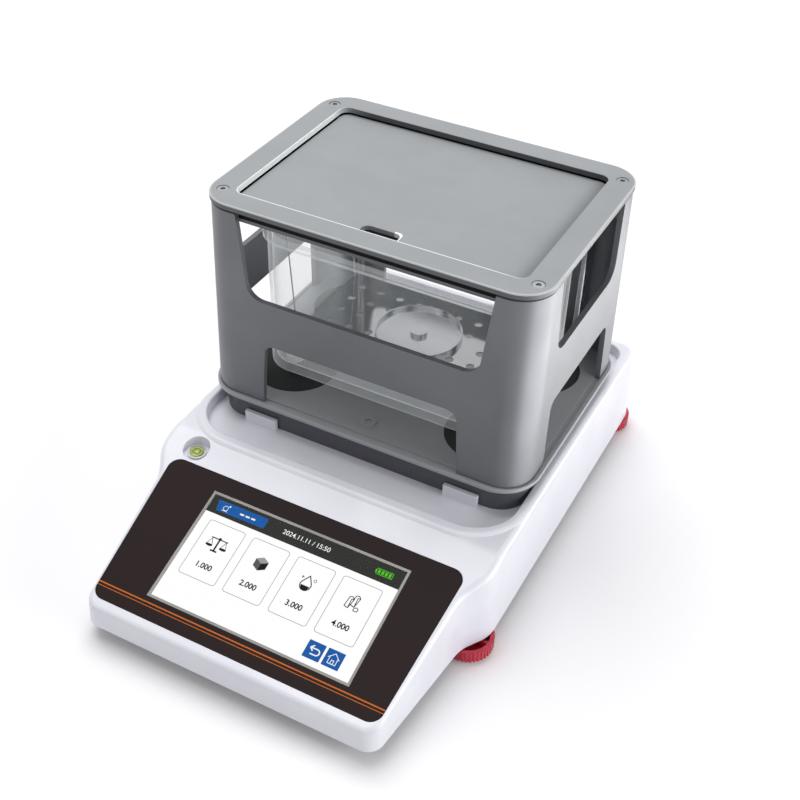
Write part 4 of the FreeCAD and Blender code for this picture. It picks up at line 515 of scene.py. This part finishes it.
def closed():
    bpy.ops.object.mode_set(mode="OBJECT")
    return bpy.context.object


def applied():
    # The active piece, with its place and size put into its mesh
    bpy.ops.object.transform_apply(location=True, rotation=True, scale=True)
    return bpy.context.object


def joined(parts, name):
    picked(parts[0])
    for part in parts:
        part.select_set(True)
    if len(parts) > 1:
        bpy.ops.object.join()
    whole = bpy.context.object
    whole.name = name
    return whole


def settle(piece, paint, body, place=None):
    # Puts a finished piece where it belongs, with its place in its mesh
    picked(piece)
    if place:
        piece.matrix_world = place @ piece.matrix_world
    applied()
    piece.data.materials.clear()
    piece.data.materials.append(paints[paint])
    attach(piece, body)
    return piece


flat = {"cornerSteps": 6, "discSides": 40, "letterSize": 1.4}  # letterSize: type size for each unit of height


def bar(x, y, wide, high, turn=0, level=0, corner=0):
    # A flat patch lying on the display, its corners rounded where asked
    nothingPicked()
    bpy.ops.mesh.primitive_plane_add(size=1, location=(x * mm, y * mm, level * mm))
    piece = bpy.context.object
    piece.scale = (wide * mm, high * mm, 1)
    piece.rotation_euler.z = math.radians(turn)
    applied()
    if corner:
        opened(piece)
        bpy.ops.mesh.bevel(offset=corner * mm, segments=flat["cornerSteps"], affect="VERTICES")
        closed()
    return piece


def disc(x, y, radius, level=0, squash=1):
    nothingPicked()
    bpy.ops.mesh.primitive_circle_add(vertices=flat["discSides"], radius=radius * mm, fill_type="NGON",
                                      location=(x * mm, y * mm, level * mm))
    bpy.context.object.scale.y = squash
    return applied()


def hollowed(piece, line):
    # Leaves only a line round a flat patch
    opened(piece)
    bpy.ops.mesh.inset(thickness=line * mm)
    bpy.ops.mesh.delete(type="FACE")
    return closed()


def stroke(points, line, level=0):
    # A line through points, as one bar for each run and a disc at each bend
    parts = []
    for (x0, y0), (x1, y1) in zip(points, points[1:]):
        run = math.hypot(x1 - x0, y1 - y0)
        turn = math.degrees(math.atan2(y1 - y0, x1 - x0))
        parts.append(bar((x0 + x1) / 2, (y0 + y1) / 2, run, line, turn, level))
    return parts + [disc(x, y, line / 2, level) for x, y in points]


def halfDisc(x, y, radius, level):
    # The lower half of a disc
    opened(disc(x, y, radius, level))
    bpy.ops.mesh.bisect(plane_co=(x * mm, y * mm, level * mm), plane_no=(0, 1, 0), clear_outer=True)
    return closed()


def digits(text, x, y, high, level, bold=0.03):
    nothingPicked()
    bpy.ops.object.text_add(location=(x * mm, y * mm, level * mm))
    words = bpy.context.object
    words.data.body = text
    words.data.size = high * flat["letterSize"] * mm
    words.data.offset = bold * mm
    words.data.align_x = "CENTER"
    words.data.align_y = "CENTER"
    bpy.ops.object.convert(target="MESH")
    return applied()


def placed(points, x, s):
    # A sign's points, moved to their place on the display
    return [(x + dx, s + ds) for dx, ds in points]


print("display")
display = {"face": -1.18, "step": 0.03, "halfWide": 77.0, "low": -42.9, "high": 42.9, "headerFoot": 28.8}
cards = {"centres": (-50.6, -14.5, 21.8, 57.6), "wide": 30, "low": -20.2, "high": 24.1, "corner": 2.4,
         "line": 0.42, "signS": 8.2, "labelS": -9.6, "labelHigh": 4.2, "labelBold": 0.15}
tab = {"x": -48.1, "s": 35.9, "corners": ((-66.3, 31.7), (-26.9, 32.2), (-27.1, 40.2), (-68.2, 40.1))}
clock = {"text": "2024.11.11 / 15:50", "x": 6, "s": 36, "high": 3.6}
buttons = {"back": 50.4, "home": 64.8, "s": -32, "wide": 12.6, "high": 12.4, "corner": 0.5}

layer = [display["face"] + display["step"] * i for i in range(4)]
fieldLevel = display["face"] - display["step"] / 2
slopeX = slope["panelX"]


def onDisplay(parts, name, paint):
    piece = joined(parts, name)
    return settle(piece, paint, "housing", slopePlace)


displayWide = 2 * display["halfWide"]
onDisplay([bar(slopeX, 0, displayWide, display["high"] - display["low"], level=fieldLevel)],
          "displayField", "field")
headerMiddle = (display["headerFoot"] + display["high"]) / 2
headerHigh = display["high"] - display["headerFoot"]
onDisplay([bar(slopeX, headerMiddle, displayWide, headerHigh, level=layer[0])], "displayHeader", "header")


def fourCorners(points, level):
    # A flat patch with its corners at the points, going round
    patch = bar(0, 0, 1, 1, level=level)
    for vertex, (x, y) in zip((patch.data.vertices[i] for i in (0, 1, 3, 2)), points):
        vertex.co = (x * mm, y * mm, level * mm)
    return patch


tabPatch = fourCorners(tab["corners"], layer[1])
buttonPatches = [bar(buttons[key], buttons["s"], buttons["wide"], buttons["high"], level=layer[1],
                     corner=buttons["corner"]) for key in ("back", "home")]
onDisplay([tabPatch] + buttonPatches, "displayBlue", "blue")
cardMiddle = (cards["low"] + cards["high"]) / 2
cardHigh = cards["high"] - cards["low"]
cardPatches = [bar(x, cardMiddle, cards["wide"], cardHigh, level=layer[1], corner=cards["corner"])
               for x in cards["centres"]]
onDisplay([hollowed(patch, cards["line"]) for patch in cardPatches], "displayCards", "outline")

balance = {"bars": ((0, -0.4, 1.3, 9.5), (0, -5.2, 5.4, 1.2), (0, 4.2, 13.4, 0.8)), "knob": (4.6, 1.1),
           "panOff": 5.6, "cords": ((-2.3, -1.6), (0, 3.8), (2.3, -1.6)), "cord": 0.45,
           "panS": -1.9, "panRadius": 2.7, "panSquash": 0.38}


def balanceSign(x, s):
    # Post, foot and beam, the knob on top, and a pan on two cords at each end
    parts = [bar(x + dx, s + ds, wide, high, level=layer[1]) for dx, ds, wide, high in balance["bars"]]
    parts.append(disc(x, s + balance["knob"][0], balance["knob"][1], layer[1]))
    for side in (-1, 1):
        panX = x + side * balance["panOff"]
        parts += stroke(placed(balance["cords"], panX, s), balance["cord"], layer[1])
        parts.append(disc(panX, s + balance["panS"], balance["panRadius"], layer[1], balance["panSquash"]))
    return parts


drop = {"tip": 5.6, "bottom": -1.6, "radius": 4.0, "steps": 24, "line": 0.75, "fillDown": 0.4, "fillIn": 0.7,
        "ring": (4.9, 3.6, 1.2, 0.4), "sparkLine": 0.5,
        "spark": (((-5.4, 3.4), (-3.6, 3.4)), ((-4.5, 2.5), (-4.5, 4.3)))}


def dropSign(x, s):
    # A drop with its lower half full, a small ring and a spark beside it
    tip, bottom, radius = s + drop["tip"], s + drop["bottom"], drop["radius"]
    lean = math.asin(radius / (tip - bottom))
    sweep = [lean - i * (math.pi + 2 * lean) / drop["steps"] for i in range(drop["steps"] + 1)]
    belly = [(x + radius * math.cos(a), bottom + radius * math.sin(a)) for a in sweep]
    parts = stroke([(x, tip)] + belly + [(x, tip)], drop["line"], layer[1])
    parts.append(halfDisc(x, bottom - drop["fillDown"], radius - drop["fillIn"], layer[1]))
    ringX, ringS, ringRadius, ringLine = drop["ring"]
    parts.append(hollowed(disc(x + ringX, s + ringS, ringRadius, layer[1]), ringLine))
    for run in drop["spark"]:
        parts += stroke(placed(run, x, s), drop["sparkLine"], layer[1])
    return parts


ingots = {"places": ((-3.4, -0.4), (0.4, 1.6)), "line": 0.6,
          "face": ((-1.4, -3.4), (1.6, -4.2), (3.2, 2.8), (1.6, 4.4), (-0.4, 3.8), (-1.4, -3.4)),
          "edge": ((1.6, -4.2), (1.4, 2.6), (3.2, 2.8)),
          "nugget": ((2.4, -5.0), (5.2, -5.0), (5.6, -3.2), (4.2, -2.2), (2.6, -3.0), (2.4, -5.0))}


def ingotsSign(x, s):
    # Two standing bars and a nugget
    parts = []
    for dx, ds in ingots["places"]:
        for run in (ingots["face"], ingots["edge"]):
            parts += stroke(placed(run, x + dx, s + ds), ingots["line"], layer[1])
    return parts + stroke(placed(ingots["nugget"], x, s), ingots["line"], layer[1])


firstX, cubeX, dropX, ingotsX = cards["centres"]
inkParts = balanceSign(firstX, cards["signS"]) + dropSign(dropX, cards["signS"])
inkParts += ingotsSign(ingotsX, cards["signS"])
for number, x in enumerate(cards["centres"], 1):
    inkParts.append(digits(f"{number}.000", x, cards["labelS"], cards["labelHigh"], layer[1],
                           cards["labelBold"]))
onDisplay(inkParts, "displayInk", "ink")

cube = {"displayCubeDark": ("ink", [(0, -5.6), (4.9, -3.0), (4.9, 2.5), (0, 0)]),
        "displayCubeMid": ("darkGrey", [(-4.9, -3.0), (0, -5.6), (0, 0), (-4.9, 2.5)]),
        "displayCubeLight": ("midGrey", [(-4.9, 2.5), (0, 0), (4.9, 2.5), (0, 5.0)])}
for name, (paint, points) in cube.items():
    onDisplay([fourCorners(placed(points, cubeX, cards["signS"]), layer[1])], name, paint)

arrow = {"bend": (2.0, -0.6), "radius": 2.1, "step": 18, "from": (-2.9, 1.5), "to": (-1.6, -2.7), "line": 0.9,
         "head": ((-1.4, 3.3), (-3.3, 1.5), (-1.4, -0.3))}
house = {"line": 0.5, "roof": ((-4.0, 0.4), (0, 4.0), (4.0, 0.4)),
         "walls": ((-2.9, 1.3), (-2.9, -3.6), (2.9, -3.6), (2.9, 1.3)),
         "door": ((-0.9, -3.4), (-0.9, -0.9), (0.9, -0.9), (0.9, -3.4))}
tabSign = {"x": -12, "line": 0.4, "ring": (-0.4, 2.0), "foot": ((-2.2, -2.6), (2.2, -2.6)),
           "dot": (2.4, 1.9, 0.7), "dashes": 3, "dashFrom": (1.5, -0.2), "dashStep": 4.6,
           "dash": (3.4, 1.3), "dashCorner": 0.5}

whiteParts = [digits(clock["text"], clock["x"], clock["s"], clock["high"], layer[2])]
bendX, bendS = arrow["bend"]
turns = [math.radians(a) for a in range(90, -91, -arrow["step"])]
hook = [(bendX + arrow["radius"] * math.cos(a), bendS + arrow["radius"] * math.sin(a)) for a in turns]
for run in ([arrow["from"]] + hook + [arrow["to"]], arrow["head"]):
    whiteParts += stroke(placed(run, buttons["back"], buttons["s"]), arrow["line"], layer[2])
for run in ("roof", "walls", "door"):
    whiteParts += stroke(placed(house[run], buttons["home"], buttons["s"]), house["line"], layer[2])
signX, (ringS, ringRadius), (dotX, dotS, dotRadius) = tab["x"] + tabSign["x"], tabSign["ring"], tabSign["dot"]
whiteParts.append(hollowed(disc(signX, tab["s"] + ringS, ringRadius, layer[2]), tabSign["line"]))
whiteParts += stroke(placed(tabSign["foot"], signX, tab["s"]), tabSign["line"], layer[2])
whiteParts.append(disc(signX + dotX, tab["s"] + dotS, dotRadius, layer[2]))
for i in range(tabSign["dashes"]):
    dashX = tab["x"] + tabSign["dashFrom"][0] + i * tabSign["dashStep"]
    whiteParts.append(bar(dashX, tab["s"] + tabSign["dashFrom"][1], *tabSign["dash"], level=layer[2],
                          corner=tabSign["dashCorner"]))
onDisplay(whiteParts, "displayWhite", "sheen")

battery = {"x": 67.2, "s": 35.7, "wide": 12.4, "high": 4.6, "cells": 4, "corner": 0.5, "line": 0.45,
           "inside": 0.8, "cellGap": 0.9, "cellLess": 1.7, "cap": (0.8, 2.0)}
batteryLeft = battery["x"] - battery["wide"] / 2
cellWide = (battery["wide"] - 2 * battery["inside"]) / battery["cells"]
case = bar(battery["x"], battery["s"], battery["wide"], battery["high"], level=layer[1],
           corner=battery["corner"])
batteryParts = [hollowed(case, battery["line"]),
                bar(batteryLeft - battery["cap"][0] / 2, battery["s"], *battery["cap"], level=layer[1])]
for i in range(battery["cells"]):
    x = batteryLeft + battery["inside"] + cellWide * (i + 0.5)
    batteryParts.append(bar(x, battery["s"], cellWide - battery["cellGap"],
                            battery["high"] - battery["cellLess"], level=layer[1]))
onDisplay(batteryParts, "displayBattery", "green")

print("level")
# Each ring is a radius, the height of its top over the vial's, and how deep it goes
level = {"x": -106.6, "y": -77.6, "rings": ((2.9, 0.05, 0.65), (5.0, -0.35, 0.7)), "line": 0.45,
         "bubble": 1.7, "bubbleOff": (0.5, -0.3), "bubbleDown": 0.12, "bubbleFlat": 0.2, "smooth": 40}
vialTop = max(corner[2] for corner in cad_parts["level_vial"].bound_box) / mm


def washer(x, y, radius, line, top, deep):
    # A thin ring with its top at the given height
    opened(hollowed(disc(x, y, radius, top), line))
    bpy.ops.mesh.extrude_region_move(TRANSFORM_OT_translate={"value": (0, 0, -deep * mm)})
    bpy.ops.mesh.select_all(action="SELECT")
    bpy.ops.mesh.normals_make_consistent(inside=False)
    return closed()


marks = [washer(level["x"], level["y"], radius, level["line"], vialTop + up, deep)
         for radius, up, deep in level["rings"]]
settle(joined(marks, "levelMarks"), "blackPlastic", "housing")

# The bubble is the upper half of a ball, pressed flat under the window
nothingPicked()
bubbleZ = (vialTop - level["bubbleDown"]) * mm
bubbleX, bubbleY = [(level[key] + off) * mm for key, off in zip("xy", level["bubbleOff"])]
bpy.ops.mesh.primitive_uv_sphere_add(segments=32, ring_count=16, radius=level["bubble"] * mm,
                                     location=(bubbleX, bubbleY, bubbleZ))
bubble = bpy.context.object
opened(bubble)
bpy.ops.mesh.bisect(plane_co=(0, 0, bubbleZ), plane_no=(0, 0, 1), clear_inner=True, use_fill=True)
bpy.ops.mesh.select_all(action="SELECT")
bpy.ops.transform.resize(value=(1, 1, level["bubbleFlat"]), center_override=(0, 0, bubbleZ))
closed()
bubble.name = "levelBubble"
bpy.ops.object.shade_smooth_by_angle(angle=math.radians(level["smooth"]))
settle(bubble, "bubble", "housing")

print("finger pocket")
pocket = {"wide": 30.4, "long": 12.2, "y": 1.0, "top": 245.35, "corner": 3.5, "lip": 1.0, "deep": 1.5,
          "wall": 0.4}
cup = bar(0, pocket["y"], pocket["wide"], pocket["long"], level=pocket["top"], corner=pocket["corner"])
opened(cup)
bpy.ops.mesh.inset(thickness=pocket["lip"] * mm)
bpy.ops.mesh.extrude_region_move(TRANSFORM_OT_translate={"value": (0, 0, -pocket["deep"] * mm)})
closed()
skin = cup.modifiers.new("skin", "SOLIDIFY")
skin.thickness = pocket["wall"] * mm
skin.offset = -1
bpy.ops.object.modifier_apply(modifier="skin")
cup.name = "notchPocket"
settle(cup, "pocket", "flap")

print("stage")
camera = {"place": (326.1, -612.8, 672.4), "right": (0.88349, 0.46761, 0.02775),
          "up": (-0.31400, 0.54722, 0.77585), "back": (0.34762, -0.69417, 0.63030), "lens": 55.385}
eyeData = bpy.data.cameras.new("eye")
eyeData.lens = camera["lens"]
eyeData.sensor_width = 36
eye = bpy.data.objects.new("eye", eyeData)
scene.collection.objects.link(eye)
turn = Matrix((camera["right"], camera["up"], camera["back"])).transposed().to_4x4()
eye.matrix_world = Matrix.Translation(Vector(camera["place"]) * mm) @ turn
scene.camera = eye

stage = {"floorSize": 12, "floorColour": "F2F2F4", "glow": 0.06, "room": 0.42, "whiteFrom": (0.45, 2.2),
         "farGlow": 0.9}
nothingPicked()
bpy.ops.mesh.primitive_plane_add(size=stage["floorSize"], location=(0, 0, 0))
floor = bpy.context.object
floor.name = "floor"
floorMaterial = bpy.data.materials.new("floor")
start = emptyTree(floorMaterial)


def raysShown(start):
    # 1 for rays that come from the camera, also through glass or off a mirror
    camera = start.node("ShaderNodeLightPath", out="Is Camera Ray")
    through, mirrored = [Wire(start.tree, camera.socket.node.outputs[name])
                         for name in ("Is Transmission Ray", "Is Glossy Ray")]
    return camera + through + mirrored


x, y, z = axes(start.node("ShaderNodeTexCoord", out="Object"))
farAway = x.sum("POWER", x * x + y * y, 0.5).between(*stage["whiteFrom"]) * stage["farGlow"]
matt = start.node("ShaderNodeBsdfDiffuse", None, {"Color": srgb(stage["floorColour"])})
glow = start.node("ShaderNodeEmission", None, {"Strength": raysShown(start) * (farAway + stage["glow"])})
start.node("ShaderNodeOutputMaterial", None,
           {"Surface": start.node("ShaderNodeAddShader", None, {0: matt, 1: glow})})
floor.data.materials.append(floorMaterial)

world = bpy.data.worlds.new("room")
scene.world = world
start = emptyTree(world)
shown = raysShown(start) > 0.5
background = start.node("ShaderNodeBackground", None, {
    "Color": (1, 1, 1, 1), "Strength": shown * (1 - stage["room"]) + stage["room"]})
start.node("ShaderNodeOutputWorld", None, {"Surface": background})

# The low card is seen in shiny paint only: it draws the highlight down the shield's right corner
lamps = {
    "overhead": {"place": (-0.45, 0.4, 1.85), "aim": (0, 0, 0.1), "size": (1.5, 1.5), "power": 27},
    "rightSide": {"place": (1.6, 0.05, 0.5), "aim": (0.05, 0.0, 0.12), "size": (1.0, 0.8), "power": 13},
    "frontLeft": {"place": (-1.2, -1.4, 1.2), "aim": (0, -0.05, 0.1), "size": (1.4, 1.4), "power": 3.5},
    "lowCard": {"place": (0.55, 0.2, 0.004), "aim": (0.55, 0.2, 1), "size": (0.6, 0.7), "power": 5.5},
}
for name, lamp in lamps.items():
    data = bpy.data.lights.new(name, "AREA")
    data.energy = lamp["power"]
    data.shape = "RECTANGLE"
    data.size, data.size_y = lamp["size"]
    light = bpy.data.objects.new(name, data)
    scene.collection.objects.link(light)
    light.visible_camera = False
    light.visible_diffuse = name != "lowCard"
    aim = Vector(lamp["aim"]) - Vector(lamp["place"])
    light.matrix_world = Matrix.Translation(lamp["place"]) @ aim.to_track_quat("-Z", "Y").to_matrix().to_4x4()
